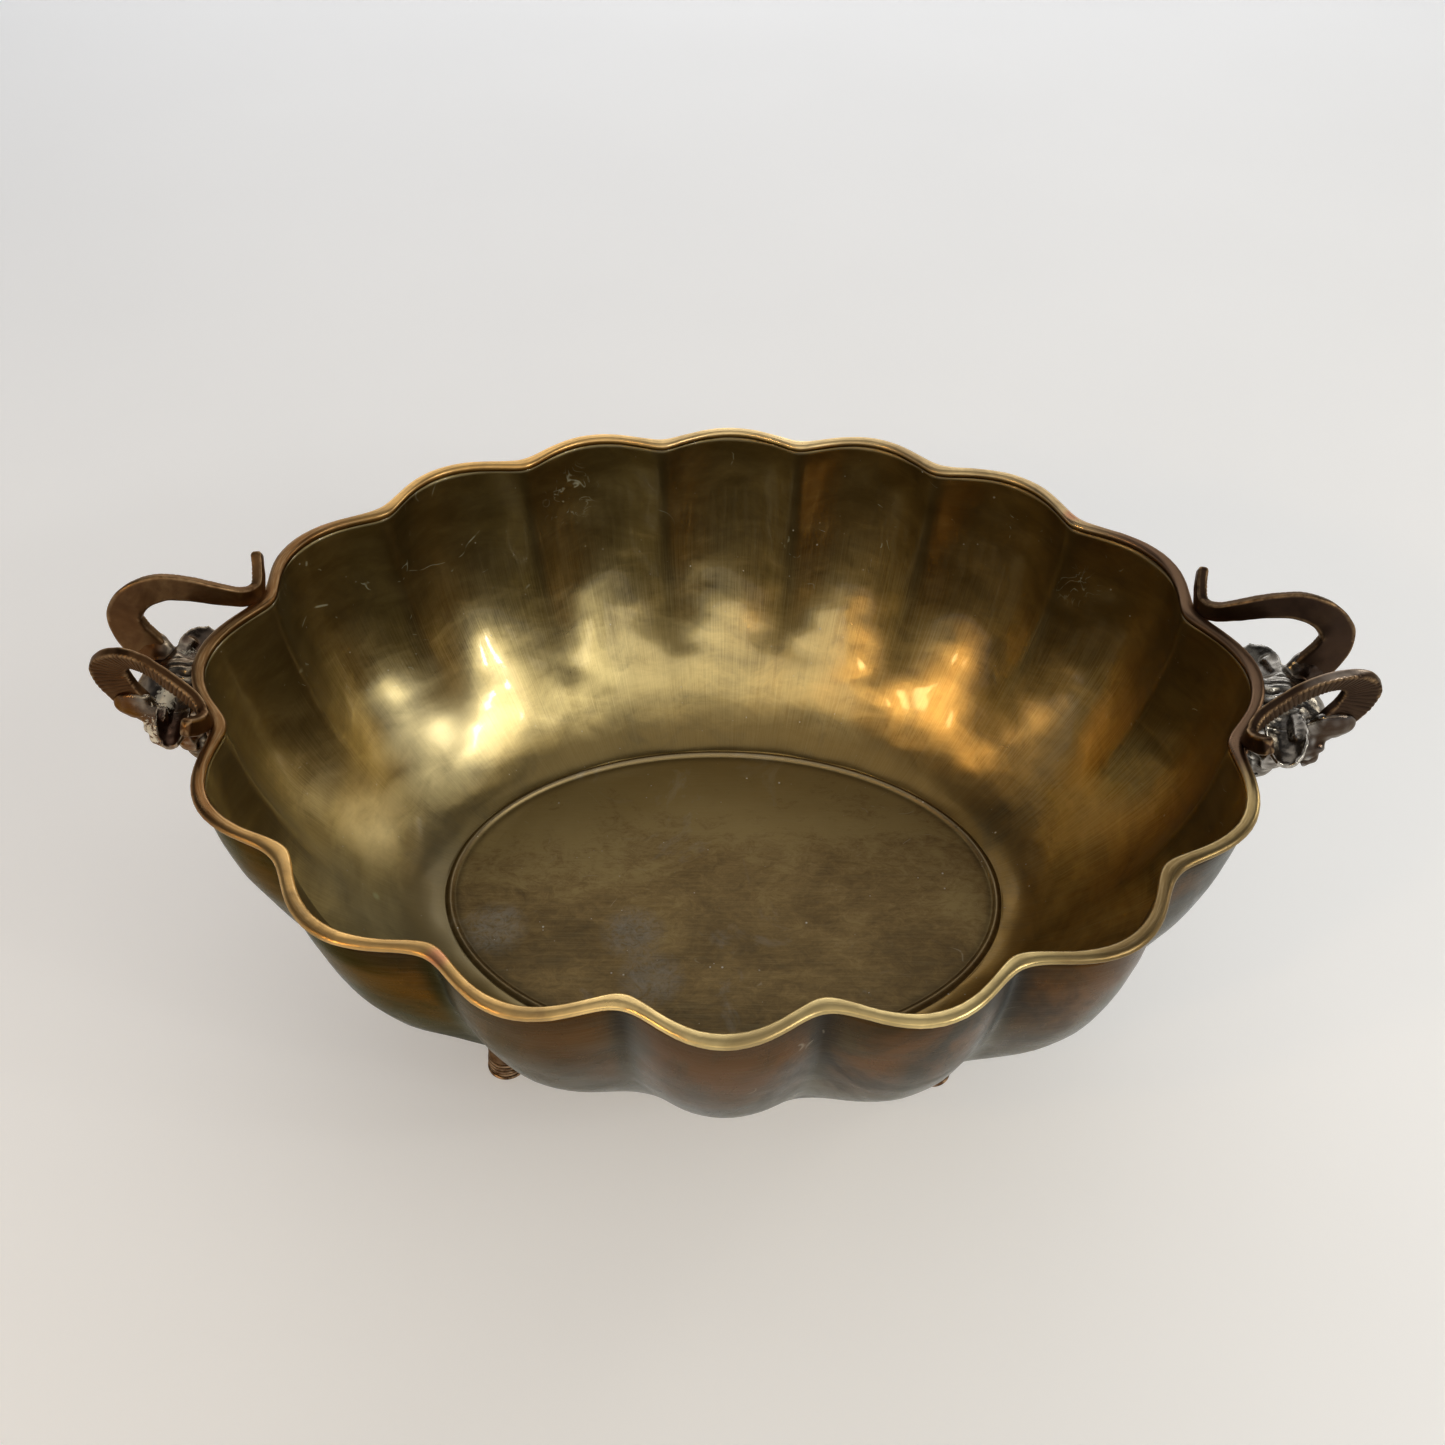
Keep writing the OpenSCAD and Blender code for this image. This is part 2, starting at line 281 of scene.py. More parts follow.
def skin(s, across, share, rows, out):
    """Grid of points, stations x rows, from under the lip down to the floor."""
    begin = lip_turn(out) * 0.82
    turn = begin + (math.pi / 2 - begin) * np.linspace(0, 1, rows)
    return wall_point(s[:, None], across[:, None], share[:, None], turn, out)


def grid_normals(grid):
    around = np.roll(grid, -1, 0) - np.roll(grid, 1, 0)
    down = np.gradient(grid, axis=1)
    return unit(np.cross(down, around))


def run_lengths(points):
    """Distance along a line of points, starting at 0."""
    steps = np.linalg.norm(np.diff(points, axis=0), axis=-1)
    return np.concatenate([[0], np.cumsum(steps)])


def beaten(points):
    """Marks that the hammer and the planishing left, in millimetres."""
    return 0.24 * waves(points, 46, 1) + 0.13 * waves(points, 26, 4) + 0.04 * waves(points, 15, 2)


# ---------------------------------------------------------------- materials


class Value:
    """A node's output that can be added and multiplied."""

    def __init__(self, shader, socket):
        self.shader, self.socket = shader, socket

    def __add__(self, other):
        return self.shader.calc("ADD", self, other)

    def __sub__(self, other):
        return self.shader.calc("SUBTRACT", self, other)

    def __mul__(self, other):
        return self.shader.calc("MULTIPLY", self, other)

    def __abs__(self):
        return self.shader.calc("ABSOLUTE", self)


class Shader:
    """A node material with one Principled surface and short calls for the nodes before it."""

    def __init__(self, name):
        self.material = bpy.data.materials.new(name)
        self.material.use_nodes = True
        self.tree = self.material.node_tree
        self.surface = self.tree.nodes["Principled BSDF"]
        self.set("Metallic", 1.0)
        self.place = self.value("ShaderNodeTexCoord", "Object")
        self.flow = self.value("ShaderNodeUVMap", "UV", {"uv_map": "flow"})
        self.colour = None

    def put(self, socket, value):
        if isinstance(value, Value):
            self.tree.links.new(value.socket, socket)
        elif isinstance(value, (tuple, list)) and len(value) == 3 and socket.type == "RGBA":
            socket.default_value = (*value, 1)
        else:
            socket.default_value = value

    def node(self, kind, settings=None, **inputs):
        node = self.tree.nodes.new(kind)
        for key, value in (settings or {}).items():
            setattr(node, key, value)
        for key, value in inputs.items():
            self.put(node.inputs[key.replace("_", " ")], value)
        return node

    def value(self, kind, key=0, settings=None, **inputs):
        """One output of a new node."""
        return Value(self, self.node(kind, settings, **inputs).outputs[key])

    def set(self, key, value):
        self.put(self.surface.inputs[key], value)

    def finish(self, rough, normal):
        for key, value in (("Base Color", self.colour), ("Roughness", rough), ("Normal", normal)):
            self.set(key, value)
        return self.material

    def mapped(self, vector, scale=(1, 1, 1), turn=(0, 0, 0), shift=(0, 0, 0)):
        return self.value(
            "ShaderNodeMapping", Vector=vector, Scale=scale, Rotation=turn, Location=shift
        )

    def noise(self, scale, detail=4.0, rough=0.55, warp=0.0, vector=None):
        return self.value(
            "ShaderNodeTexNoise", "Fac", Vector=vector or self.place, Scale=scale, Detail=detail,
            Roughness=rough, Distortion=warp,
        )

    def span(self, value, low, high, to_low=0.0, to_high=1.0):
        """Value from low to high, drawn out to to_low to to_high and held there beyond."""
        return self.value(
            "ShaderNodeMapRange", Value=value, From_Min=low, From_Max=high, To_Min=to_low,
            To_Max=to_high,
        )

    def calc(self, kind, a, b=0.0):
        node = self.node("ShaderNodeMath", {"operation": kind})
        self.put(node.inputs[0], a)
        self.put(node.inputs[1], b)
        return Value(self, node.outputs[0])

    def most(self, a, b):
        return self.calc("MAXIMUM", a, b)

    def mix(self, share, a, b, kind="MIX"):
        node = self.node("ShaderNodeMix", {"data_type": "RGBA", "blend_type": kind})
        for socket, value in zip((0, 6, 7), (share, a, b)):
            self.put(node.inputs[socket], value)
        return Value(self, node.outputs[2])

    def paint(self, share, colour, kind="MIX"):
        """Lay a share of this colour over the colours before it."""
        self.colour = self.mix(share, self.colour, colour, kind)

    def colours(self, value, stops):
        """Colours that follow a value, from stops of (value, colour)."""
        node = self.node("ShaderNodeValToRGB", Fac=value)
        elements = node.color_ramp.elements
        while len(elements) < len(stops):
            elements.new(0.5)
        for element, (at, colour) in zip(elements, stops):
            element.position = at
            element.color = (*colour, 1)
        return Value(self, node.outputs[0])

    def point(self, name):
        """A number that the mesh carries at each point."""
        return self.value("ShaderNodeAttribute", "Fac", {"attribute_name": name})

    def axes(self):
        node = self.node("ShaderNodeSeparateXYZ", Vector=self.place)
        return [Value(self, output) for output in node.outputs]

    def brushing(self, vector, across, along, turn=0.0, detail=3.0, rough=0.7):
        """Fine lines, with this many across and along each metre."""
        lines = self.mapped(vector, (across, along, 1.0), turn=(0, 0, turn))
        return self.noise(1.0, detail, rough, vector=lines)

    def specks(self, vector, scale, size, share):
        """Scattered grains: 1 inside a grain, 0 elsewhere."""
        cells = self.node("ShaderNodeTexVoronoi", Vector=vector, Scale=scale)
        away, tint = (Value(self, cells.outputs[key]) for key in ("Distance", "Color"))
        grain = self.span(away, size * 0.5, size, 1.0, 0.0)
        pick = self.value("ShaderNodeSeparateColor", Color=tint)
        return grain * self.calc("GREATER_THAN", pick, 1 - share)

    def hairlines(self, scale, width, cover, shift):
        """Thin curled scratches that come and go: 1 on a scratch."""
        moved = self.mapped(self.place, shift=shift)
        line = abs(self.noise(scale, 1.5, 0.4, 0.4, moved) - 0.5)
        thread = self.span(line, 0.0, width, 1.0, 0.0)
        broken = self.noise(scale * 2.7, 2.0, vector=moved)
        broken = self.span(broken, 0.62 - cover, 0.66 - cover)
        area = self.span(self.noise(scale * 0.35, 1.0, vector=moved), 0.5, 0.62)
        return thread * (broken * area)

    def near(self, spot, reach):
        """1 at a spot on the object, fading to 0 at reach metres from it."""
        node = self.node("ShaderNodeVectorMath", {"operation": "DISTANCE"})
        self.put(node.inputs[0], self.place)
        self.put(node.inputs[1], spot)
        return self.span(Value(self, node.outputs["Value"]), reach * 0.4, reach, 1.0, 0.0)

    def near_any(self, spots):
        """1 at each spot, from a list of (place, reach), fading to 0 round them."""
        total, *others = [self.near(place, reach) for place, reach in spots]
        for other in others:
            total += other
        return total

    def bump(self, height, strength, distance, normal=None):
        node = self.node("ShaderNodeBump", Strength=strength, Distance=distance, Height=height)
        if normal is not None:
            self.put(node.inputs["Normal"], normal)
        return Value(self, node.outputs[0])


DUST = (0.62, 0.60, 0.52)
# Painted highlights: patches of the wall painted pale gold where lamp highlights fall: [place,
# reach, share]
PAINTED_HIGHLIGHTS = [((-0.1993, 0.0153, 0.0685), 0.030, 0.75), ((-0.175, 0.082, 0.073), 0.048, 0.55)]
# Where old curled scratches gather on the wall: (place, reach)
OLD_SCRATCHES = [
    ((-0.098, 0.186, 0.172), 0.022), ((0.198, 0.118, 0.166), 0.016), ((-0.24, 0.06, 0.19), 0.016),
]
GREEN_FLECK = (-0.1886, -0.0312, 0.0594), 0.003


def wall_inner_material():
    m = Shader("brass_inside")
    x, y, z = m.axes()
    cloud = m.noise(9.0, 5.0, 0.6, 0.6)
    mottle = m.noise(30.0, 7.0, 0.66, 0.5, vector=m.mapped(m.flow, (1.0, 2.2, 1.0)))
    # Painted light: the wall is painted brighter gold low down where the glow falls and darker
    # olive high up as painted shade; cloud and mottle add random tone
    painted_low_glow = m.span(z, 0.14, 0.08) * m.span(z, 0.036, 0.062, 0.15, 1.0)
    tone_and_painted_glow = painted_low_glow * 0.55 + m.span(cloud, 0.32, 0.72, 0.0, 0.3)
    tone_and_painted_glow += m.span(mottle, 0.35, 0.7, -0.17, 0.19)
    m.colour = m.colours(tone_and_painted_glow, [
        (0.0, (0.155, 0.118, 0.048)), (0.3, (0.225, 0.175, 0.074)),
        (0.62, (0.44, 0.35, 0.155)), (1.0, (0.66, 0.545, 0.255)),
    ])
    foot_zone = m.span(z, 0.052, 0.038) * 0.7
    m.paint(foot_zone, (0.3, 0.205, 0.07))
    # Painted light: the right side of the inner wall is tinted orange for the amber light that
    # falls there
    painted_amber_glow = m.span(x, -0.06, 0.16)
    m.paint(painted_amber_glow * 0.8, (1.0, 0.8, 0.56), "MULTIPLY")
    stain = m.span(m.noise(21.0, 6.0, 0.7, 1.0), 0.52, 0.7)
    m.paint(stain * 0.5, (0.12, 0.095, 0.05))
    # Painted shade: darker along the creases between flutes, high on the wall
    m.paint(m.point("crease") * 0.6, (0.085, 0.062, 0.028))
    brush = m.brushing(m.flow, 1050.0, 16.0, 0.16)
    fine = m.brushing(m.flow, 2100.0, 44.0, -0.12, 2.0, 0.6)
    grain = brush * 0.6 + fine * 0.4
    brushed = m.span(z, 0.15, 0.095) * m.span(cloud, 0.3, 0.6, 0.35, 1.0)
    brushed *= m.span(z, 0.04, 0.062, 0.2, 1.0)
    m.paint(m.span(grain, 0.42, 0.64, 0.0, 0.44) * brushed, (0.76, 0.64, 0.32))
    scratch = m.hairlines(16.0, 0.0035, 0.04, (0.3, 0.1, 0.7))
    scratch += m.hairlines(42.0, 0.006, 0.0, (1.3, 2.1, 0.2))
    high = m.span(z, 0.075, 0.135)
    scratch *= high
    old_marks = m.noise(75.0, 2.0, 0.5, 1.2, vector=m.mapped(m.place, shift=(0.2, 0.5, 0.1)))
    old_marks = m.span(abs(old_marks - 0.5), 0.0, 0.026, 1.0, 0.0)
    old_marks *= m.near_any(OLD_SCRATCHES)
    broken = m.span(m.noise(160.0, 3.0), 0.46, 0.56)
    scratch += old_marks * broken
    m.paint(scratch * 0.75, (0.52, 0.56, 0.46))
    m.paint(m.near(*GREEN_FLECK), (0.62, 0.66, 0.36))
    dusty = m.span(m.noise(13.0, 2.0), 0.44, 0.62)
    dust = m.specks(m.flow, 260.0, 0.16, 0.06) * dusty
    dust += m.specks(m.flow, 90.0, 0.075, 0.1) * dusty
    m.paint(dust, DUST)
    film = m.span(x, -0.06, -0.17) * (m.span(y, 0.06, -0.04) * m.span(z, 0.15, 0.08))
    film *= m.span(cloud, 0.25, 0.6, 0.55, 1.0)
    m.paint(film * 0.55, (0.3, 0.29, 0.21))
    # Painted highlights: pale gold patches laid where the lamps' highlights fall on the lower wall
    for spot, reach, share in PAINTED_HIGHLIGHTS:
        painted_highlight = m.near(spot, reach) * m.span(mottle, 0.3, 0.6, 0.6, 1.0)
        m.paint(painted_highlight * share, (0.92, 0.8, 0.46))
    dull = dust * 0.8 + (film * 0.35 + scratch * 0.55)
    m.set("Metallic", m.span(dull, 0.0, 1.0, 1.0, 0.0))
    rough = m.span(mottle, 0.3, 0.7, 0.22, 0.32) + m.span(z, 0.1, 0.15, 0.05, 0.13)
    m.set("Anisotropic", 0.35)
    m.set("Coat Weight", m.span(z, 0.045, 0.08, 0.12, 0.6))
    m.set("Coat Roughness", 0.06)
    normal = m.bump(grain * brushed, 0.14, 0.0006)
    normal = m.bump(mottle, 0.07, 0.0012, normal)
    return m.finish(
        rough + (dust + film * 0.2) * 0.3,
        m.bump(dust + scratch * -0.5, 0.25, 0.0004, normal),
    )


def wall_outer_material():
    m = Shader("brass_outside")
    x, _, z = m.axes()
    cloud = m.noise(8.0, 4.0, 0.6, 0.8)
    mottle = m.noise(46.0, 8.0, 0.68, 0.4)
    blend = m.span(cloud, 0.32, 0.68, 0.0, 0.65) + m.span(mottle, 0.35, 0.7, -0.1, 0.22)
    blend += m.span(z, 0.165, 0.055, -0.1, 0.22)
    m.colour = m.colours(blend, [
        (0.0, (0.028, 0.015, 0.005)), (0.35, (0.058, 0.036, 0.013)),
        (0.7, (0.104, 0.074, 0.032)), (1.0, (0.16, 0.128, 0.068)),
    ])
    m.paint(m.span(x, -0.02, -0.14), (0.8, 0.66, 0.46), "MULTIPLY")
    stain = m.span(m.noise(24.0, 6.0, 0.7, 1.4, vector=m.mapped(m.place, (1, 1, 0.6))), 0.52, 0.66)
    m.paint(stain * 0.55, (0.08, 0.038, 0.013))
    patch = m.noise(
        15.0, 5.0, 0.6, 0.9, vector=m.mapped(m.place, (1, 1, 0.8), shift=(0.6, 0.1, 0.3))
    )
    flank = m.span(m.point("crease"), 0.1, 0.7, 1.0, 0.0)
    patch = m.span(patch, 0.42, 0.56) * (m.span(z, 0.105, 0.16) * flank)
    m.paint(patch * 0.85, (0.15, 0.062, 0.013))
    smoke = m.span(m.noise(13.0, 5.0, 0.65, 0.8), 0.5, 0.66)
    m.paint(smoke * 0.8, (0.022, 0.015, 0.008))
    # Painted shade: a dark band just below the overhanging lip
    painted_shade_below_lip = m.span(z, 0.18, 0.2)
    m.paint(painted_shade_below_lip * 0.65, (0.04, 0.024, 0.011))
    # The creases are tinted grey-olive lower down, and painted dark as shade just below the lip
    crease_tone_and_shade = m.point("crease")
    m.paint(crease_tone_and_shade * m.span(z, 0.165, 0.1) * 0.6, (0.165, 0.14, 0.088))
    m.paint(crease_tone_and_shade * m.span(z, 0.15, 0.185) * 0.85, (0.022, 0.014, 0.008))
    brush = m.brushing(m.flow, 26.0, 620.0, 0.05)
    m.paint(m.span(brush, 0.45, 0.7, 0.0, 0.14), (0.2, 0.15, 0.09))
    scratch = m.hairlines(30.0, 0.005, 0.02, (2.3, 0.4, 1.7))
    m.paint(scratch * 0.5, (0.42, 0.36, 0.26))
    m.set("Specular Tint", m.mix(m.span(x, -0.03, -0.12), (0.86, 0.9, 0.9), (0.54, 0.56, 0.48)))
    m.set("Anisotropic", 0.2)
    normal = m.bump(brush, 0.08, 0.0006)
    return m.finish(
        m.span(mottle, 0.3, 0.7, 0.2, 0.34) + smoke * 0.12,
        m.bump(mottle, 0.12, 0.0015, normal),
    )


# Places where drops of water dried on the floor, and how far each one spread
DROP_REACH = 0.02
WATER_SPOTS = [
    (-0.1268, -0.0313, 0.033), (-0.0500, -0.0330, 0.033), (-0.0385, -0.0631, 0.033),
]


def floor_material():
    m = Shader("brass_floor")
    y = m.axes()[1]
    cloud = m.noise(1.0, 6.0, 0.68, 1.1, vector=m.mapped(m.place, (11.0, 17.0, 8.0)))
    streak = m.noise(
        1.0, 10.0, 0.84, 1.2, vector=m.mapped(m.place, (95.0, 150.0, 1.0), turn=(0, 0, 0.06))
    )
    blend = m.span(cloud, 0.3, 0.7, 0.0, 0.75) + m.span(streak, 0.3, 0.7, -0.35, 0.5)
    # Painted light: the floor is painted lighter towards the back
    blend += m.span(y, -0.09, 0.09, -0.1, 0.55)
    blend += m.span(y, 0.02, 0.08, 0.0, 0.25)
    m.colour = m.colours(blend, [
        (0.0, (0.105, 0.078, 0.04)), (0.35, (0.185, 0.126, 0.056)),
        (0.7, (0.285, 0.196, 0.084)), (1.0, (0.4, 0.3, 0.13)),
    ])
    brush = m.brushing(m.place, 22.0, 1300.0)
    coarse = m.brushing(m.place, 34.0, 520.0, -0.12, 2.0, 0.6)
    grain = brush * 0.65 + coarse * 0.35
    m.paint(m.span(grain, 0.46, 0.68, 0.0, 0.28), (0.44, 0.34, 0.17))
    scratch = m.hairlines(34.0, 0.006, 0.03, (0.7, 1.9, 0.2))
    m.paint(scratch * 0.5, (0.52, 0.46, 0.32))
    ring = m.point("ring")
    m.paint(ring * 0.45, (0.085, 0.066, 0.034))
    crest = m.point("crest") * m.span(y, -0.08, 0.05, 0.3, 1.0)
    m.paint(crest * 0.7, (0.36, 0.28, 0.17))
    water = m.noise(17.0, 5.0, 0.7, 1.2, vector=m.mapped(m.place, shift=(0.37, 0.81, 0)))
    water = m.span(water, 0.6, 0.74) * 0.6
    splash = m.span(m.noise(150.0, 6.0, 0.75, 2.0), 0.36, 0.66)
    for spot in WATER_SPOTS:
        water += m.near(spot, DROP_REACH) * splash
    m.paint(water * 0.45, (0.46, 0.46, 0.42))
    dust = m.specks(m.place, 150.0, 0.11, 0.05)
    dust += m.specks(m.place, 420.0, 0.16, 0.02)
    m.paint(dust, (0.75, 0.73, 0.66))
    m.set("Metallic", m.span(dust + water * 0.4, 0.0, 1.0, 1.0, 0.15))
    rough = m.span(streak, 0.3, 0.7, 0.42, 0.58) + water * 0.15
    m.set("Anisotropic", 0.3)
    normal = m.bump(grain, 0.16, 0.0006)
    return m.finish(rough + crest * -0.2, m.bump(dust, 0.3, 0.0005, normal))


# Where braze shows pink on the lip: (place, reach)
PINK_BRAZE = [((-0.1135, -0.1745, 0.205), 0.0065), ((0.188, 0.126, 0.205), 0.0065)]


def lip_material():
    m = Shader("brass_lip")
    x, y, _ = m.axes()
    front = m.span(y * -1.0 + x * 0.45, -0.02, 0.2)
    left = m.span(x, -0.185, -0.225)
    cloud = m.noise(14.0, 5.0, 0.62, 0.6)
    m.colour = m.mix(front, (0.93, 0.69, 0.35), (0.94, 0.74, 0.34))
    calm = m.span(x, 0.08, 0.16) * m.span(y, -0.06, -0.12)
    m.paint(calm * 0.92, (0.24, 0.175, 0.07))
    m.paint(m.span(x, 0.0, -0.1), (0.86, 0.52, 0.18))
    m.paint(left, (0.23, 0.105, 0.034))
    aged = m.span(x, 0.165, 0.215) * m.span(y, -0.084, -0.058)
    dull = m.span(cloud + m.span(x, 0.06, 0.16) * 0.1, 0.4, 0.62)
    m.paint(dull * 0.62, (0.15, 0.085, 0.034))
    spots = m.span(m.noise(60.0, 6.0, 0.7, 0.6), 0.56, 0.72)
    m.paint(spots * 0.35, (0.2, 0.11, 0.05))
    brush = m.brushing(m.flow, 60.0, 900.0)
    m.paint(m.span(brush, 0.46, 0.7, 0.0, 0.25), (0.7, 0.54, 0.29))
    pink = m.near_any(PINK_BRAZE)
    faint = m.span(m.noise(19.0, 2.0, vector=m.mapped(m.place, shift=(0.9, 0.2, 0.4))), 0.66, 0.74)
    m.paint(faint * 0.4 + pink * 0.7, (0.62, 0.25, 0.14))
    m.paint(aged * m.span(cloud, 0.3, 0.7, 0.97, 0.85), (0.12, 0.068, 0.048))
    # Painted shade: the lower part of the lip is painted dark brown, as shade under its round top
    m.paint(m.point("under") * 0.85, (0.075, 0.046, 0.018))
    m.set("Specular Tint", m.mix(aged, (0.9, 0.86, 0.78), (0.66, 0.56, 0.5)))
    normal = m.bump(brush, 0.06, 0.0004)
    return m.finish(
        m.span(cloud, 0.3, 0.7, 0.24, 0.4) + spots * 0.08,
        m.bump(spots, 0.1, 0.0006, normal),
    )


def horn_material():
    m = Shader("bronze_horn")
    x, y, _ = m.axes()
    cloud = m.noise(38.0, 5.0, 0.62, 0.5)
    mottle = m.noise(210.0, 6.0, 0.7)
    side = m.span(x, -0.1, 0.1)
    m.colour = m.colours(cloud + m.span(y, -0.02, 0.02, -0.09, 0.06), [
        (0.3, (0.06, 0.027, 0.011)), (0.52, (0.105, 0.052, 0.022)), (0.72, (0.185, 0.105, 0.046)),
    ])
    m.paint(side * 0.8, (0.034, 0.023, 0.018))
    m.paint(m.span(mottle, 0.55, 0.75, 0.0, 0.4), (0.06, 0.03, 0.018))
    edge = m.point("edge")
    worn = edge * m.span(m.noise(120.0, 4.0, 0.7), 0.36, 0.6)
    m.paint(worn * 0.75, (0.42, 0.27, 0.14))
    # Painted highlight: the top face of the right front horn is painted pale and less metallic,
    # standing in for a sheen of light
    painted_sheen_zone = m.span(x, 0.262, 0.282) * m.span(y, 0.0, -0.012) * m.point("top")
    painted_top_sheen = painted_sheen_zone * m.span(cloud, 0.4, 0.6, 0.35, 0.95)
    m.paint(painted_top_sheen, (0.64, 0.54, 0.47))
    groove = m.point("groove")
    m.paint(groove * 0.7, (0.028, 0.017, 0.011))
    m.set("Specular Tint", (0.74, 0.66, 0.58))
    m.set("Metallic", m.span(painted_top_sheen, 0.0, 1.0, 1.0, 0.5))
    normal = m.bump(mottle, 0.16, 0.0006)
    return m.finish(
        m.span(cloud, 0.3, 0.7, 0.28, 0.44) + groove * 0.15,
        m.bump(m.noise(620.0, 3.0), 0.06, 0.0003, normal),
    )


def head_material(name, low, mid, high, side, ear, silver, root, edge_tint, gloss):
    m = Shader(name)
    x, y, z = m.axes()
    cloud = m.noise(60.0, 6.0, 0.66, 0.6)
    cavity = m.point("cavity")
    crest = m.point("crest")
    m.colour = m.colours(cloud, [(0.3, low), (0.52, mid), (0.74, high)])
    away = abs(y)
    out = abs(x)
    below = m.most(m.span(z, 0.19, 0.178), m.span(out, 0.281, 0.287))
    socket = m.span(away, 0.008, 0.014) * m.span(out, 0.28, 0.286)
    cheek = m.span(away, 0.01, 0.017) * below
    m.paint(cheek * 0.85, side)
    m.paint(m.span(away, 0.022, 0.028) * 0.8, ear)
    m.paint(m.span(y, 0.024, 0.03) * 0.75, (0.034, 0.034, 0.03))
    m.paint(socket * 0.96, root)
    m.paint(cavity * 0.8, (0.022, 0.015, 0.011))
    worn = crest * m.span(m.noise(140.0, 3.0), 0.32, 0.54)
    worn *= m.span(socket, 0.0, 1.0, 0.75, 0.15)
    m.paint(worn, silver)
    crumbs = m.noise(300.0, 6.0, 0.72, 1.0)
    heap = crumbs + m.point("residue") * 0.3
    residue = m.span(heap + cavity * 0.03, 0.73, 0.765)
    m.paint(residue, (0.74, 0.68, 0.55))
    m.set("Specular Tint", edge_tint)
    m.set("Metallic", m.span(residue, 0.0, 1.0, 1.0, 0.0))
    rough = m.span(cloud, 0.3, 0.7, gloss, gloss + 0.16) + residue * 0.4
    normal = m.bump(m.noise(480.0, 4.0, 0.7), 0.2, 0.0006)
    return m.finish(rough + cavity * 0.2, m.bump(residue, 0.5, 0.0006, normal))


def foot_material():
    m = Shader("bronze_foot")
    cloud = m.noise(80.0, 5.0, 0.64, 0.4)
    groove = m.point("groove")
    crest = m.point("crest")
    m.colour = m.colours(cloud, [
        (0.3, (0.048, 0.021, 0.01)), (0.55, (0.095, 0.046, 0.022)), (0.75, (0.18, 0.095, 0.048)),
    ])
    m.paint(groove * 0.85, (0.026, 0.015, 0.009))
    worn = crest * m.span(m.noise(200.0, 3.0), 0.36, 0.6)
    m.paint(worn * 0.85, (0.62, 0.42, 0.25))
    m.set("Specular Tint", (0.6, 0.52, 0.44))
    return m.finish(
        m.span(cloud, 0.3, 0.7, 0.24, 0.4) + groove * 0.2,
        m.bump(m.noise(520.0, 4.0, 0.7), 0.16, 0.0005),
    )


def braze_material():
    m = Shader("braze_fill")
    cloud = m.noise(120.0, 5.0, 0.66, 0.5)
    m.colour = m.colours(cloud, [
        (0.32, (0.09, 0.048, 0.026)), (0.55, (0.23, 0.13, 0.066)), (0.76, (0.47, 0.29, 0.15)),
    ])
    return m.finish(
        m.span(cloud, 0.3, 0.7, 0.28, 0.48),
        m.bump(m.noise(420.0, 4.0, 0.7), 0.25, 0.0006),
    )


def ground_material():
    m = Shader("pale_floor")
    m.set("Metallic", 0.0)
    tone = m.noise(3.0, 3.0)
    m.set("Base Color", m.colours(tone, [(0.3, (0.83, 0.84, 0.86)), (0.7, (0.86, 0.87, 0.89))]))
    m.set("Roughness", 0.75)
    m.set("Emission Color", (1.0, 1.0, 1.0))
    m.set("Emission Strength", 0.21)
    m.set("Normal", m.bump(m.noise(900.0, 2.0), 0.02, 0.0004))
    return m.material


# ---------------------------------------------------------------- bowl wall


# Width of the crease between flutes, as a share of half a flute; on the wall, shade is painted
# along it
WALL_CREASE, LIP_CREASE = 0.12, 0.22


def valley_mark(across, width):
    """1 in the valley between two flutes, falling to 0 over this share of half a flute."""
    return np.exp(-(((1 - np.abs(across)) / width) ** 2))


def make_wall(inner_material, outer_material):
    s, across, share = stations()
    inner = skin(s, across, share, INNER_ROWS, 0.0)
    outer = skin(s, across, share, OUTER_ROWS, WALL)
    inner = inner + grid_normals(inner) * beaten(inner)[..., None]
    outer = outer + grid_normals(outer) * beaten(outer)[..., None]
    inner[:, -1, 2] = FLOOR_TOP
    outer[:, -1, 2] = FLOOR_TOP - WALL
    loop = np.concatenate([inner[:, ::-1], outer], axis=1)
    count, sides = loop.shape[:2]
    high_up = ramp(loop[..., 2], FLOOR_TOP + 40, FLOOR_TOP + 110)
    crease = valley_mark(across, WALL_CREASE)[:, None] * high_up
    faces = tube_faces(count, sides, True)
    ring = oval(VALLEY_LENGTH, VALLEY_WIDTH, np.append(s, s[0] + 2 * math.pi))
    along = run_lengths(ring)
    around = run_lengths(np.vstack([loop[0], loop[0, :1]]))
    indices = np.where(faces[:, 0] % sides < inner.shape[1] - 1, 0, 1)
    make_piece(
        "bowl_wall", loop.reshape(-1, 3), faces, [inner_material, outer_material],
        ["bowl_shell"], tube_uv(along, around), {"crease": crease.ravel()},
        indices.tolist(),
    )
    return outer


# ---------------------------------------------------------------- lip


def lip_section(sides):
    """Section of the lip as [across, up]: full and rounded above, flat below, edges eased."""
    t = np.linspace(0, 2 * math.pi, sides, endpoint=False)
    c, w = np.cos(t), np.sin(t)
    across = np.sign(c) * np.abs(c) ** 0.62 * LIP_WIDTH / 2
    crown = 0.45 * (1 - (across / (LIP_WIDTH / 2)) ** 2)
    up = np.sign(w) * np.abs(w) ** 0.60 * (LIP_HEIGHT - 0.45) / 2 + (LIP_HEIGHT - 0.45) / 2
    outer = 0.35 + 0.65 * ramp(up, 0.0, 3.0)
    inner = 0.88 + 0.12 * ramp(up, 0.0, 2.5)
    return across * np.where(across > 0, outer, inner), up + crown * (w > 0)


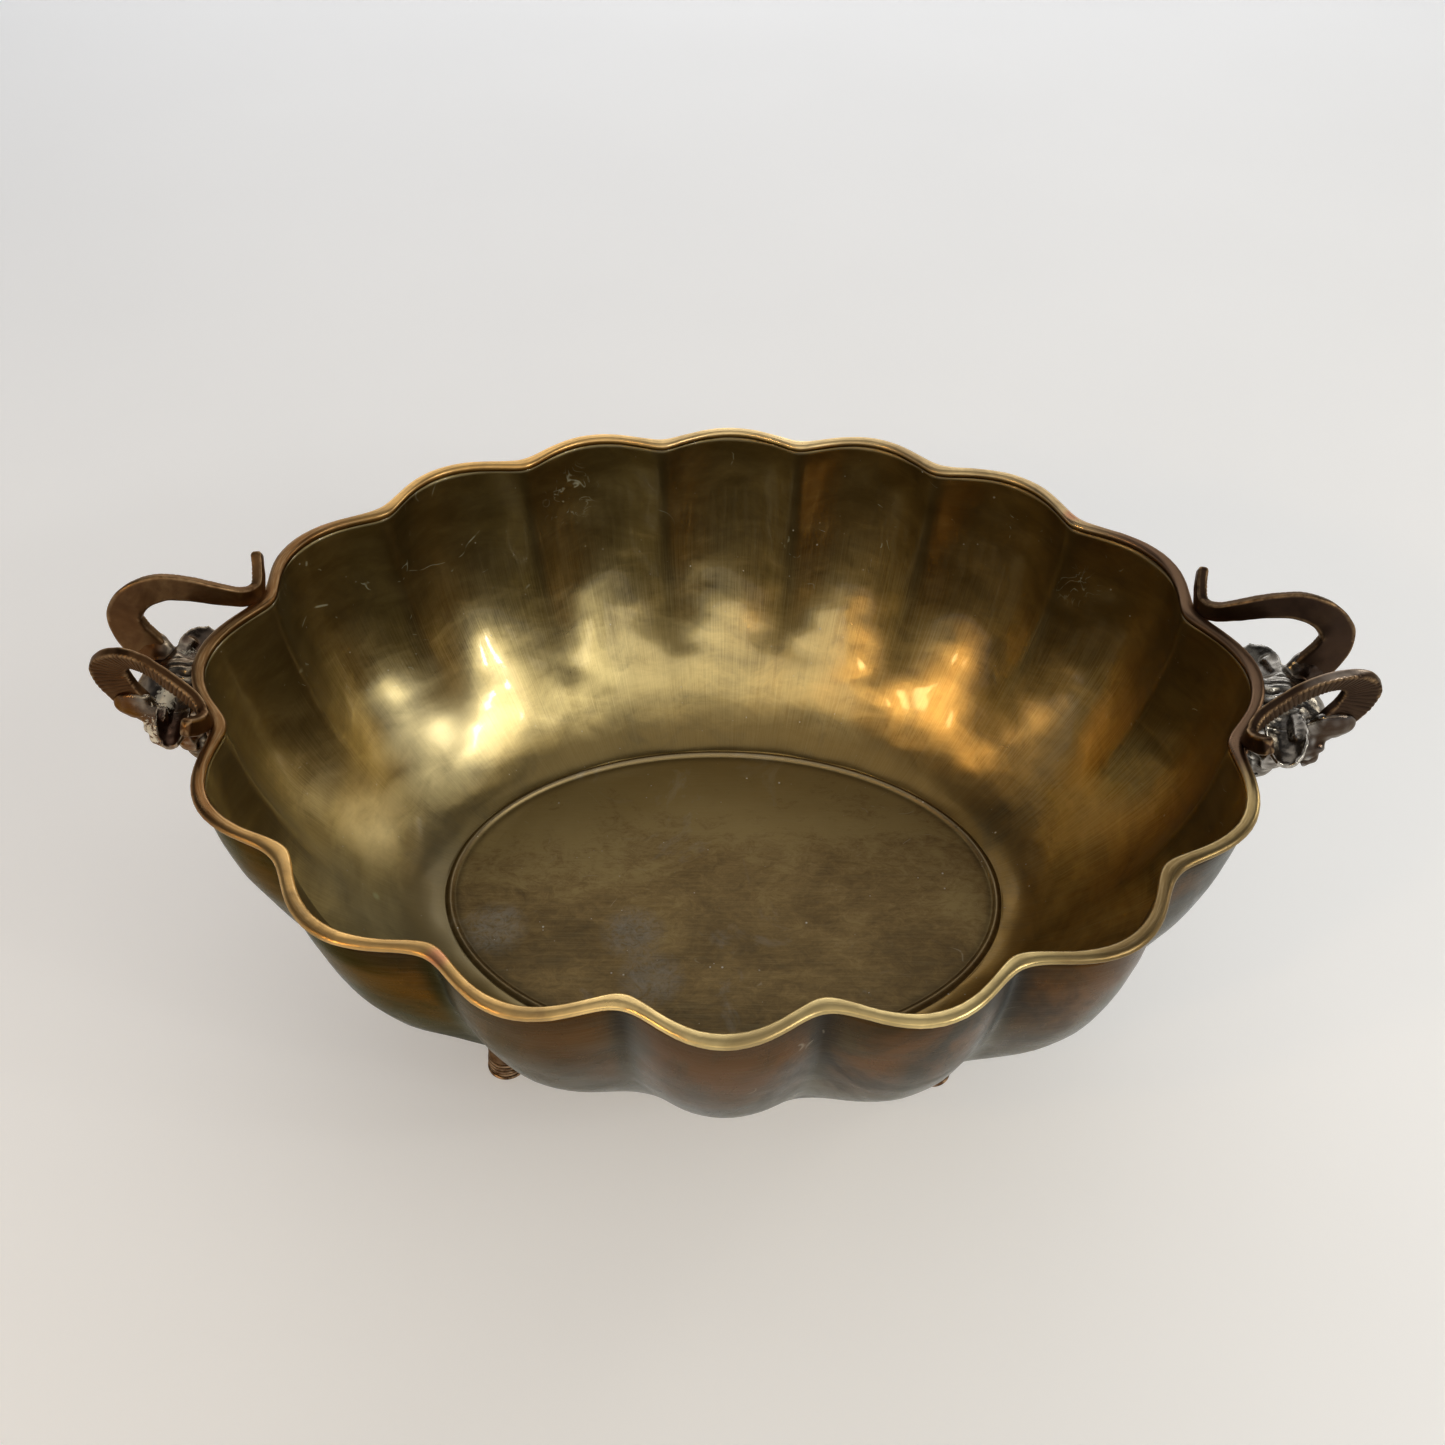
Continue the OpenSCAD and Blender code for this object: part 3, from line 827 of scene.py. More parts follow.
def make_lip(material):
    s, across, share = stations()
    side_way, up_way = lip_section(LIP_SIDES)
    widen = 1.04 + 0.16 * valley_mark(across, LIP_CREASE) + 0.05 * np.sin(7 * s + 0.4)
    widen = widen + 0.03 * np.sin(19 * s)
    out = lobe(across, VALLEY_ROUND) * share + belly(s, np.zeros_like(s))
    spread = side_way[None, :] * widen[:, None] + out[:, None]
    normal = oval_normal(s)
    xy = oval(VALLEY_LENGTH, VALLEY_WIDTH, s)[:, None, :] + normal[:, None, :] * spread[..., None]
    height = RIM_HEIGHT - LIP_HEIGHT + up_way[None, :] + rim_sway(s)[:, None] * 0.9
    points = np.concatenate([xy, np.broadcast_to(height, spread.shape)[..., None]], -1)
    points = points + 0.06 * waves(points, 11, 3)[..., None] * unit(
        points - points.mean(1, keepdims=True)
    )
    faces = tube_faces(len(s), len(side_way), True)
    along = run_lengths(np.vstack([points[:, 0], points[:1, 0]]))
    around = run_lengths(np.vstack([points[0], points[0, :1]]))
    # The under mark is the lower part of the lip, where shade is painted dark
    make_piece(
        "lip_band", points.reshape(-1, 3), faces[:, ::-1], [material], ["rim_band"],
        tube_uv(along, around).reshape(-1, 4, 2)[:, ::-1],
        {"under": np.tile(ramp(-up_way, -3.2, -1.9), len(s))},
    )


# ---------------------------------------------------------------- floor


def bead_height(offset):
    """Height over the floor at this distance out from the bead's middle line."""
    away = np.abs(offset - BEAD_SHIFT)
    bead = BEAD_RISE * (0.5 + 0.5 * np.cos(math.pi * np.clip(away / BEAD_SPREAD, 0, 1))) ** 0.8
    groove = 0.10 * np.exp(-(((away - BEAD_SPREAD - GROOVE_GAP) / 0.9) ** 2))
    return bead - groove


def make_floor(material):
    s = np.linspace(0, 2 * math.pi, FLOOR_SIDES, endpoint=False)
    centre_line = oval(BEAD_LENGTH_HALF, BEAD_WIDTH_HALF, s)
    normal = oval_normal(s, BEAD_LENGTH_HALF, BEAD_WIDTH_HALF)
    offsets = np.concatenate([
        np.linspace(-14, -4.6, 7),
        np.linspace(-4.2, BEAD_WIDTH / 2 + PLATE_MARGIN, 36),
    ])
    shares = np.linspace(0.0, 1.0, 40)[1:-1]
    first = centre_line + normal * offsets[0]
    rows = [first * share for share in shares]
    rows += [centre_line + normal * offset for offset in offsets]
    flat = np.stack(rows, 1)
    offs = np.concatenate([np.full(len(shares), -FAR), offsets])
    height = FLOOR_TOP + np.broadcast_to(bead_height(offs), flat.shape[:2])
    top = np.concatenate([flat, height[..., None]], -1)
    middle = np.concatenate([ramp(shares, 0.0, 0.25), np.ones(len(offsets))])
    calm = (ramp(-offs, 3.5, 14) * middle)[None, :]
    top[..., 2] += (0.30 * waves(top, 70, 5) + 0.06 * waves(top, 22, 6)) * calm
    edge = top[:, -1].copy()
    bottom = [edge * [1, 1, 0] + [0, 0, FLOOR_TOP - WALL]]
    bottom += [bottom[0] * [k, k, 1] for k in (0.9, 0.6, 0.3)]
    grid = np.concatenate([top, np.stack(bottom, 1)], 1)
    rings = grid.shape[1]
    points = grid.transpose(1, 0, 2).reshape(-1, 3)
    faces = tube_faces(rings, FLOOR_SIDES, False)[:, ::-1]
    middles = [0, 0, FLOOR_TOP], [0, 0, FLOOR_TOP - WALL]
    points, faces = close_ends(points, faces, FLOOR_SIDES, *middles)
    away = np.abs(np.concatenate([offs, np.full(len(bottom), FAR)]) - BEAD_SHIFT)
    edge_gap = np.abs(away - BEAD_SPREAD - GROOVE_GAP)
    marks = {"ring": np.exp(-((edge_gap / 2.4) ** 2)), "crest": np.exp(-((away / 1.9) ** 4))}
    make_piece(
        "floor_disc", points, faces, [material], ["floor_plate"],
        floats=end_marks(marks, FLOOR_SIDES),
    )


# ---------------------------------------------------------------- horns

# Middle line of the horn at the back of the right handle, with the bar's width:
# [out along X, back along Y, up from the lip, width]
HORN_ROUTE = np.array([
    [291.5, 19, -13, 19],
    [297, 19, -2, 18.5],
    [298, 20, 9, 17],
    [291, 23, 17.2, 15],
    [279.5, 27, 20, 13.5],
    [266, 30.5, 16.8, 12],
    [253, 35, 9.8, 10.5],
    [244.2, 40, 4.4, 9.5],
    [239.6, 47, 2.8, 9.2],
    [240, 56, 7, 8.5],
    [241.5, 64, 13.5, 8],
], float)
UPRIGHT_FROM, UPRIGHT_BY = 34.0, 48.0
LEFT_DRAW = 7.0
RIB_PITCH = 2.4
RIB_DEPTH = 0.9
HORN_STEP = 0.42
BAR_SIDES = 15, 7
CORNER_RADIUS = 1.25
WORN_TAIL = 2.2


def smooth_route(route, step):
    """Catmull-Rom curve through the route, walked in even steps."""
    last = len(route) - 1
    fine = []
    for i in range(last):
        p0, p1 = route[max(i - 1, 0)], route[i]
        p2, p3 = route[i + 1], route[min(i + 2, last)]
        for t in np.linspace(0, 1, 24, endpoint=False):
            fine.append(0.5 * (
                2 * p1 + (p2 - p0) * t + (2 * p0 - 5 * p1 + 4 * p2 - p3) * t * t
                + (3 * p1 - p0 - 3 * p2 + p3) * t ** 3
            ))
    fine.append(route[-1])
    fine = np.array(fine)
    run = run_lengths(fine[:, :3])
    even = np.linspace(0, run[-1], int(run[-1] / step) + 1)
    return np.stack([np.interp(even, run, fine[:, k]) for k in range(4)], -1), even


def drawn_in(points):
    """The left handle as it was bent: its front horn stands a little less far out."""
    front = 0.3 + 0.7 * ramp(-points[..., 1], -5, 12)
    moved = points.copy()
    moved[..., 0] -= LEFT_DRAW * front * ramp(points[..., 0], 254, 292)
    return moved


def horn_frames(line):
    middle = line[:, :3] + [0, 0, RIM_HEIGHT]
    heading = unit(np.gradient(middle, axis=0))
    lean = np.array([0, math.cos(HORN_LEAN), -math.sin(HORN_LEAN)])
    loop_way = unit(np.cross(lean, heading))
    upright = unit(np.array([0, 0, 1.0]) - heading * heading[:, 2:])
    share = np.clip((line[:, 1] - UPRIGHT_FROM) / (UPRIGHT_BY - UPRIGHT_FROM), 0, 1)[:, None]
    wide = unit(loop_way * (1 - share) + upright * share)
    return middle, wide, np.cross(wide, heading)


def bar_outline(sides_wide, sides_thick):
    """Unit section of a flat bar: [across the width, through the thickness]."""
    spots_w = np.linspace(-1, 1, sides_wide)
    spots_t = np.linspace(-1, 1, sides_thick)[1:-1]
    points = [(w, 1.0) for w in spots_w] + [(1.0, t) for t in spots_t[::-1]]
    points += [(w, -1.0) for w in spots_w[::-1]] + [(-1.0, t) for t in spots_t]
    return np.array(points)


def make_horn(corner, material, seed, lift):
    """One horn, with its loop lifted by this many millimetres."""
    flip_x, flip_y = "left" in corner, "front" in corner
    line, run = smooth_route(HORN_ROUTE, HORN_STEP)
    rng = np.random.default_rng(SEED + seed)
    sway = 0.5 * np.sin(run / 31 + rng.uniform(0, 6)) * ramp(run, 20, 60) * ramp(-run, -150, -110)
    line[:, 2] += sway + lift * ramp(run, 20, 60) * ramp(-run, -150, -110)
    middle, wide, thick = horn_frames(line)
    outline = bar_outline(*BAR_SIDES)
    count, sides = len(line), len(outline)
    half_w = line[:, 3] / 2
    half_t = np.full(count, HORN_THICKNESS / 2)
    # The bar's end is worn round
    tail = run[-1] - run
    worn = np.sqrt(1 - 0.55 * np.clip(1 - tail / WORN_TAIL, 0, 1) ** 2)
    half_w, half_t = half_w * worn, half_t * worn
    w = outline[None, :, 0] * half_w[:, None]
    t = outline[None, :, 1] * half_t[:, None]
    # Ease the corners: pull each corner in along both ways
    dw = np.maximum(np.abs(w) - (half_w[:, None] - CORNER_RADIUS), 0)
    dt = np.maximum(np.abs(t) - (half_t[:, None] - CORNER_RADIUS), 0)
    reach = np.hypot(dw, dt)
    ease = np.where(reach > CORNER_RADIUS, CORNER_RADIUS / np.maximum(reach, 1e-9), 1.0)
    w = np.sign(w) * (np.abs(w) - dw * (1 - ease))
    t = np.sign(t) * (np.abs(t) - dt * (1 - ease))
    # Ribs are cut across the face that looks away from the middle of the handle
    jitter = np.cumsum(rng.normal(0, 0.012, count)) + 0.25 * np.sin(run / 9 + seed)
    phase = run / RIB_PITCH + jitter
    saw = np.abs((phase % 1.0) - 0.5) * 2
    cut = np.clip((saw - 0.52) / 0.48, 0, 1) ** 1.3
    where = ramp(run, 6, 16) * ramp(-run, -118, -96)
    slant = np.clip(outline[:, 0], -1, 1)
    face = ramp(-outline[:, 1], 0.55, 1.0)
    ragged = 0.75 + 0.25 * np.sin(phase[:, None] * 2.1 + slant[None, :] * 3)
    groove = cut[:, None] * where[:, None] * face[None, :] * ragged
    t = t + groove * RIB_DEPTH
    w = w * (1 - 0.09 * groove)
    points = (
        middle[:, None, :]
        + wide[:, None, :] * w[..., None]
        + thick[:, None, :] * t[..., None]
    )
    points = points + 0.10 * waves(points, 9, 20 + seed)[..., None] * unit(
        points - middle[:, None, :]
    )
    edge = np.clip((np.hypot(dw, dt) / CORNER_RADIUS - 0.75) / 0.5, 0, 1) * (dw > 0) * (dt > 0)
    top = ramp((points[..., 2] - middle[:, None, 2]) / half_w[:, None], 0.80, 0.88)
    faces = tube_faces(count, sides, False)
    middles = points[0].mean(0), points[-1].mean(0)
    flat, faces = close_ends(points.reshape(-1, 3), faces, sides, *middles)
    flat = flat * [1, (-1 if flip_y else 1), 1]
    if flip_x:
        flat = drawn_in(flat) * [-1, 1, 1]
    if flip_x == flip_y:
        faces = [f[::-1] for f in faces]
    marks = {"edge": edge, "groove": groove, "top": top}
    make_piece(
        f"horn_ribbed_{corner}", flat, faces, [material], [f"horn_{corner}"],
        floats=end_marks(marks),
    )


# ---------------------------------------------------------------- ram heads


def smooth_union(a, b, k):
    h = np.clip(0.5 + 0.5 * (b - a) / k, 0, 1)
    return b + (a - b) * h - k * h * (1 - h)


def smooth_cut(a, b, k):
    """Take b out of a."""
    return -smooth_union(-a, b, k)


def ball(p, centre, radii):
    """Distance to an ellipsoid, near enough for blending."""
    radii = np.asarray(radii, float)
    q = (p - np.asarray(centre, float)) / radii
    k0 = np.linalg.norm(q, axis=-1)
    k1 = np.linalg.norm(q / radii, axis=-1)
    return k0 * (k0 - 1) / np.maximum(k1, 1e-9)


def rod(p, a, b, ra, rb):
    """Distance to a rod whose radius runs from ra to rb."""
    a, b = np.asarray(a, float), np.asarray(b, float)
    along = b - a
    t = np.clip(((p - a) @ along) / (along @ along), 0, 1)
    return np.linalg.norm(p - (a + t[..., None] * along), axis=-1) - (ra + (rb - ra) * t)


def flat_rod(p, a, b, ra, rb, thin_way, squeeze):
    """A rod squeezed flat along thin_way."""
    a = np.asarray(a, float)
    thin_way = unit(thin_way)
    off = ((p - a) @ thin_way)[..., None] * thin_way
    return rod(p + off * (squeeze - 1), a, b, ra, rb)


# Places along an ear, and its width there, as shares
EAR_PLACES, EAR_WIDTHS = [0, 0.15, 0.38, 0.65, 0.88, 1], [0.55, 0.82, 1, 0.93, 0.70, 0.42]


def leaf(p, root, tip, face, reach, thick, cup):
    """Distance to a cupped leaf from root to tip, with its hollow towards face."""
    root, tip = np.asarray(root, float), np.asarray(tip, float)
    length = np.linalg.norm(tip - root)
    along = (tip - root) / length
    face = np.asarray(face, float)
    face = unit(face - along * (face @ along))
    side = np.cross(along, face)
    off = p - root
    t, w, h = off @ along, off @ side, off @ face
    share = np.clip(t / length, 0, 1)
    half = reach * np.interp(share, EAR_PLACES, EAR_WIDTHS)
    across = np.clip(w / half, -1, 1)
    bend = cup * across * across * np.sin(math.pi * np.clip(share, 0.12, 0.95)) ** 0.5
    past_side = np.abs(w) - half
    past_face = np.abs(h - bend) - thick * (1 - 0.45 * share)
    past_end = np.abs(t - length / 2) - length / 2
    past = past_side, past_face, past_end
    outside = np.sqrt(sum(np.maximum(v, 0) ** 2 for v in past))
    inside = np.minimum(np.maximum.reduce(past), 0)
    return outside + inside - 0.7


def mouth(p):
    lip_line = rod(p, (276.5, 0, -66.5), (270.0, 9.8, -60.4), 1.0, 0.8)
    return np.minimum(lip_line, rod(p, (270.0, 9.8, -60.4), (266.5, 11.2, -50.4), 0.9, 0.5))


join, cut = smooth_union, smooth_cut
# The skull, and the parts joined to it or cut from it in turn: [way, shape, *sizes, ease].
# Places are on the right head: [out along X, back along Y, up from the lip].
SKULL = (274, 0, -25), (17, 15.5, 15.5)
HEAD_PARTS = [
    (join, ball, (285.5, 0, -22.5), (9, 22, 8.5), 5),
    (join, ball, (281.5, 13, -31), (11.5, 12.5, 11.5), 4),
    (join, rod, (287, 0, -28), (275.5, 0, -58), 8.4, 7.4, 6),
    (join, ball, (273, 9, -43), (10, 8.5, 12), 5),
    (join, ball, (269, 0, -60), (11, 9.8, 9.5), 5),
    (join, rod, (266, 0, -44), (262, 0, -63), 7, 5, 4),
    # Neck with a collar that spreads onto the wall
    (join, rod, (252, 0, -22), (272, 0, -24), 14, 14.5, 6),
    (join, ball, (253.5, 0, -23), (6, 18, 18.5), 4),
    # Socket of each eye, the eye, its lids and the brow ridge
    (cut, ball, (290, 24, -36), (6, 5.5, 5), 3),
    (join, ball, (286.4, 20.2, -35.5), (4.4, 4.4, 4.4), 0.8),
    (join, rod, (292, 18.5, -31.5), (283.5, 25, -32.5), 1.5, 1.3, 1.4),
    (join, rod, (290.5, 18.5, -39.5), (283.5, 23.8, -39), 1.1, 1.0, 1.4),
    (join, rod, (292.5, 6, -29), (289, 22.5, -28), 2.6, 2.0, 3),
    # Nostrils and mouth
    (cut, rod, (279.8, 3.4, -60.8), (276.0, 7.4, -57.2), 1.7, 1.1, 1.2),
    (join, rod, (279.2, 5.4, -56.4), (273.5, 9.4, -57.2), 1.4, 1.0, 1.8),
    (cut, mouth, 0.9),
    # Cheek fold, and the hollow behind the jaw
    (cut, rod, (280, 15.2, -43), (272.5, 14.0, -52), 1.0, 0.6, 1.4),
    (cut, rod, (262, 17, -36), (266, 12, -50), 3.0, 2.2, 3),
    # Ears lie out sideways under the horns, hollow above
    (join, leaf, (271, 13, -18.5), (265.3, 41.5, -21.6), (-0.10, -0.15, 1), 9.6, 1.5, 5.2, 3.0),
    (join, rod, (277, 14, -17), (273, 27, -16), 4.6, 2.6, 3.0),
    # Sockets that the horns grow from
    (join, flat_rod, (291, 19, -15.5), (282, 17.5, -27), 11.6, 9, (0.0, 0.94, -0.33), 2.35, 2.2),
]
# The wall where the head sits, as a cylinder that widens upwards
SEAT_RADIUS, SEAT_FLARE = 52, 8 / 75
SEAT_CENTRE = VALLEY_LENGTH + FLUTE_RISE - 1.2 - SEAT_RADIUS


def head_form(points):
    """Distance to the right ram head."""
    p = np.stack([points[..., 0], np.abs(points[..., 1]), points[..., 2]], -1)
    d = ball(p, *SKULL)
    for way, shape, *sizes, ease in HEAD_PARTS:
        d = way(d, shape(p, *sizes), ease)
    seat_radius = SEAT_RADIUS + SEAT_FLARE * np.minimum(points[..., 2], 0)
    seat = np.hypot(points[..., 0] - SEAT_CENTRE, points[..., 1]) - seat_radius
    return np.maximum(d, -seat)


def fur(points):
    """Locks of hair: ribs that run back along the head and neck, and down the cheeks."""
    x, y, z = points[..., 0], points[..., 1], points[..., 2]
    turn = np.arctan2(y, z + 24)
    warp = 0.5 * waves(points, 12, 30)
    neck = np.sin(turn * 15 + warp * 3 + x * 0.10) * ramp(-x, -272, -263)
    top = np.sin(y * 1.25 + warp * 2.4 + 0.15 * x) * ramp(z, -20, -12) * ramp(-x, -286, -270)
    top = top * ramp(-np.abs(y), -17, -12)
    lock = np.sin((x * 0.9 + z * 0.25) * 1.25 + warp * 4 + np.abs(y) * 0.35)
    side = ramp(np.abs(y), 8, 14) * ramp(x, 262, 270) * ramp(-np.abs(z + 30), -12, -5)
    beard = np.sin(y * 2.3 + warp * 3) * ramp(-z, 46, 54) * ramp(-x, -270, -264)
    strands = 0.5 * waves(points, 3.4, 31, 18, stretch=(2.6, 1, 1))
    plain = ramp(-np.abs(y), -27, -20)
    coat = 0.75 * neck + 0.42 * top + 0.24 * lock * side + 0.5 * beard
    return plain * (coat + 0.22 * strands * ramp(-x, -284, -264)) + 0.10 * waves(points, 6.5, 33)


def closed_field(field):
    """The same distances with nothing inside at the border, so that every surface closes."""
    inner = field[1:-1, 1:-1, 1:-1].copy()
    field = np.abs(field) + 0.1
    field[1:-1, 1:-1, 1:-1] = inner
    return field


def surface_net(field, low, step):
    """Quad mesh of the zero level of a grid of distances."""
    inside = field < 0
    shape = np.array(field.shape) - 1
    total = np.zeros((*shape, 3))
    hits = np.zeros(tuple(shape))
    corners = [(i, j, k) for i in (0, 1) for j in (0, 1) for k in (0, 1)]

    def corner(array, c):
        return array[c[0]:c[0] + shape[0], c[1]:c[1] + shape[1], c[2]:c[2] + shape[2]]

    for a in corners:
        for axis in range(3):
            if a[axis]:
                continue
            b = tuple(v + (k == axis) for k, v in enumerate(a))
            fa, fb = corner(field, a), corner(field, b)
            crossing = corner(inside, a) != corner(inside, b)
            t = np.where(crossing, fa / np.where(crossing, fa - fb, 1), 0)
            spot = np.array(a, float) + t[..., None] * np.eye(3)[axis]
            total += spot * crossing[..., None]
            hits += crossing
    active = hits > 0
    index = np.full(active.shape, -1)
    index[active] = np.arange(active.sum())
    places = np.argwhere(active) + total[active] / hits[active][:, None]
    quads = []
    for axis in range(3):
        u, v = [k for k in range(3) if k != axis]
        first = [slice(None)] * 3
        second = [slice(None)] * 3
        first[axis], second[axis] = slice(0, -1), slice(1, None)
        a, b = inside[tuple(first)], inside[tuple(second)]
        spots = np.argwhere(a != b)
        spots = spots[(spots[:, u] > 0) & (spots[:, v] > 0)]
        spots = spots[(spots[:, u] < shape[u]) & (spots[:, v] < shape[v])]
        step_u, step_v = np.eye(3, dtype=int)[u], np.eye(3, dtype=int)[v]
        ring = [spots - step_u - step_v, spots - step_v, spots, spots - step_u]
        quad = np.stack([index[tuple(r.T)] for r in ring], -1)
        outward = a[tuple(spots.T)] != (axis == 1)
        quad[~outward] = quad[~outward][:, ::-1]
        quads.append(quad)
    return np.asarray(low) + places * step, np.concatenate(quads)


def vertex_normals(points, quads):
    a, b, c, d = (points[quads[:, k]] for k in range(4))
    across = np.cross(c - a, d - b)
    total = np.zeros_like(points)
    for k in range(4):
        np.add.at(total, quads[:, k], across)
    return unit(total)


def neighbour_mean(values, quads):
    total = np.zeros_like(values)
    hits = np.zeros(len(values))
    for k in range(4):
        for m in (1, 3):
            np.add.at(total, quads[:, k], values[quads[:, (k + m) % 4]])
            np.add.at(hits, quads[:, k], 1)
    return total / hits[:, None]


def eased(values, quads):
    """Each point's value, halfway to the mean of the points beside it."""
    return values * 0.5 + neighbour_mean(values, quads) * 0.5


def field_grid(low, high, step):
    """Points of an even grid between two corners."""
    axes = [np.arange(low[k], high[k], step) for k in range(3)]
    return np.stack(np.meshgrid(*axes, indexing="ij"), -1)


# Grid that the ram heads are cut from, in millimetres
HEAD_STEP = 0.75
HEAD_LOW, HEAD_HIGH = np.array([240.0, -50, -78]), np.array([307.0, 50, 3])


def head_mesh():
    """Points and quads of the right head, with its hollows and its worn heights marked."""
    field = head_form(field_grid(HEAD_LOW, HEAD_HIGH, HEAD_STEP))
    points, quads = surface_net(closed_field(field), HEAD_LOW, HEAD_STEP)
    points = eased(eased(points, quads), quads)
    normals = vertex_normals(points, quads)
    free = ramp(points[:, 0], 254.5, 257)
    points = points + normals * (fur(points) * free)[:, None]
    normals = vertex_normals(points, quads)
    hollow = ((neighbour_mean(points, quads) - points) * normals).sum(-1)[:, None]
    hollow = eased(eased(hollow, quads), quads)
    cavity = np.clip(hollow[:, 0] / 0.09, 0, 1)
    crest = np.clip(-hollow[:, 0] / 0.07, 0, 1)
    return points + [0, 0, RIM_HEIGHT], quads, cavity, crest


# Where old polish has dried on each head: [place on the right head, reach, strength]. The left
# head takes the same places mirrored to its side.
RESIDUE_LEFT = [
    ((278, -13, -12), 9, 1.0), ((287, -21, -27), 9, 0.9), ((284, -25, -36), 7, 0.6),
    ((271, 19, -15), 6, 0.8), ((273, -20, -14), 6, 0.7),
]
RESIDUE_RIGHT = [((276, -16, -14), 6, 0.35), ((284, -6, -13), 6, 0.3)]


def residue_mark(points, spots):
    total = np.zeros(len(points))
    for centre, reach, strength in spots:
        off = np.linalg.norm(points - [0, 0, RIM_HEIGHT] - np.asarray(centre, float), axis=-1)
        total += strength * np.exp(-((off / reach) ** 2))
    return np.clip(total, 0, 1)


def make_heads(left_material, right_material):
    points, quads, cavity, crest = head_mesh()
    marks = {"cavity": cavity, "crest": crest}
    make_piece(
        "ram_right", points, quads, [right_material], ["ram_head_right"],
        floats={**marks, "residue": residue_mark(points, RESIDUE_RIGHT)},
    )
    make_piece(
        "ram_left", drawn_in(points) * [-1, 1, 1], quads[:, ::-1], [left_material],
        ["ram_head_left"], floats={**marks, "residue": residue_mark(points, RESIDUE_LEFT)},
    )


# ---------------------------------------------------------------- feet

FOOT_RINGS = 4
RING_HEIGHT = 2.4
RIM_OF_FOOT = 2.0
BULB_HEIGHT = 13.0
LEFT_FOOT_OUTWARD = 2.2
# How far round a foot the wall above it is looked at, in millimetres
FOOT_REACH = 24
FOOT_BODY_TOP = RIM_OF_FOOT + FOOT_RINGS * RING_HEIGHT


def foot_profile(radius):
    """Outline of a turned foot as [radius, height, crest mark, groove mark]."""
    rows = [
        (0.0, 0.0, 0, 0), (radius * 0.5, 0.0, 0, 0), (radius - 1.0, 0.0, 0, 0),
        (radius - 0.35, 0.12, 0.5, 0), (radius, 0.5, 1, 0), (radius, 1.1, 1, 0),
        (radius - 0.3, 1.55, 0.7, 0), (radius - 0.9, 1.85, 0, 1),
    ]
    neck, bulb, foot_low = radius * 0.6, radius * 0.86, radius * 0.94
    for i in range(FOOT_RINGS):
        share = i / FOOT_RINGS
        outer = foot_low + (bulb - foot_low) * share * share
        base = RIM_OF_FOOT + i * RING_HEIGHT
        for a in np.linspace(-80, 80, 13):
            r = outer - 0.95 + 0.95 * math.cos(math.radians(a))
            z = base + RING_HEIGHT * (1 + math.sin(math.radians(a))) / 2
            lit = math.cos(math.radians(a)) ** 3
            rows.append((r, z, lit, (1 - lit) ** 3))
    rows.append((bulb - 0.5, FOOT_BODY_TOP + 0.1, 0, 0.8))
    for a in np.linspace(4, 90, 16):
        c, w = math.cos(math.radians(a)), math.sin(math.radians(a))
        height = FOOT_BODY_TOP + 0.3 + BULB_HEIGHT * w
        rows.append((neck + (bulb - neck) * c, height, 0.3 * c, 0.1))
    for share in np.linspace(0.1, 1, 8):
        rows.append((neck, FOOT_BODY_TOP + 0.3 + BULB_HEIGHT + share * 8.0, 0, 0.3))
    return np.array(rows)


def make_foot(corner, material, outer_skin):
    low, high = box_mm(f"foot_{corner}")
    centre = (low + high) / 2
    if centre[0] < 0:
        centre[0] -= LEFT_FOOT_OUTWARD
    radius = (high[0] - low[0]) / 2
    profile = foot_profile(radius)
    turn = np.linspace(0, 2 * math.pi, FOOT_SIDES, endpoint=False)
    cloud = outer_skin.reshape(-1, 3)
    cloud = cloud[np.hypot(cloud[:, 0] - centre[0], cloud[:, 1] - centre[1]) < FOOT_REACH]
    body_top = FOOT_BODY_TOP + BULB_HEIGHT * 0.75
    round_way = np.stack([np.cos(turn), np.sin(turn)], -1)
    flat = centre[:2] + profile[1:, None, :1] * round_way
    heights = np.broadcast_to(profile[1:, None, 1:2], (*flat.shape[:2], 1))
    rings = np.concatenate([flat, heights], -1)

    def skin_height(xy):
        gap = np.linalg.norm(cloud[None, :, :2] - xy[:, None, :], axis=-1)
        pick = np.argsort(gap, axis=1)[:, :6]
        weight = 1 / (np.take_along_axis(gap, pick, 1) + 0.2) ** 2
        return (cloud[pick, 2] * weight).sum(1) / weight.sum(1)

    seat = skin_height(rings[-1, :, :2])
    # The plain part above the rings reaches just into the wall, and spreads into its braze
    above = rings[:, :, 2] > body_top
    share = np.clip((rings[:, :, 2] - body_top) / (rings[-1, 0, 2] - body_top), 0, 1)
    target = body_top + share * (seat[None, :] + 1.0 - body_top)
    rings[:, :, 2] = np.where(above, target, rings[:, :, 2])
    flare = 2.6 * np.clip((share - 0.80) / 0.20, 0, 1) ** 2 * above
    out = unit((rings - centre) * [1, 1, 0])
    rings = rings + out * flare[..., None]
    rings = rings + out * (0.07 * waves(rings, 7, 50))[..., None] * (rings[..., 2:] > 1.2)
    rings[-1, :, 2] = skin_height(rings[-1, :, :2]) + 1.2
    faces = tube_faces(len(rings), FOOT_SIDES, False)[:, ::-1]
    middles = centre * [1, 1, 0], [centre[0], centre[1], rings[-1, :, 2].mean()]
    points, faces = close_ends(rings.reshape(-1, 3), faces, FOOT_SIDES, *middles)
    marks = {"crest": profile[1:, 2], "groove": profile[1:, 3]}
    make_piece(
        f"ringed_{corner}", points, faces, [material], [f"foot_{corner}"],
        floats=end_marks(marks, FOOT_SIDES),
    )


# ---------------------------------------------------------------- braze


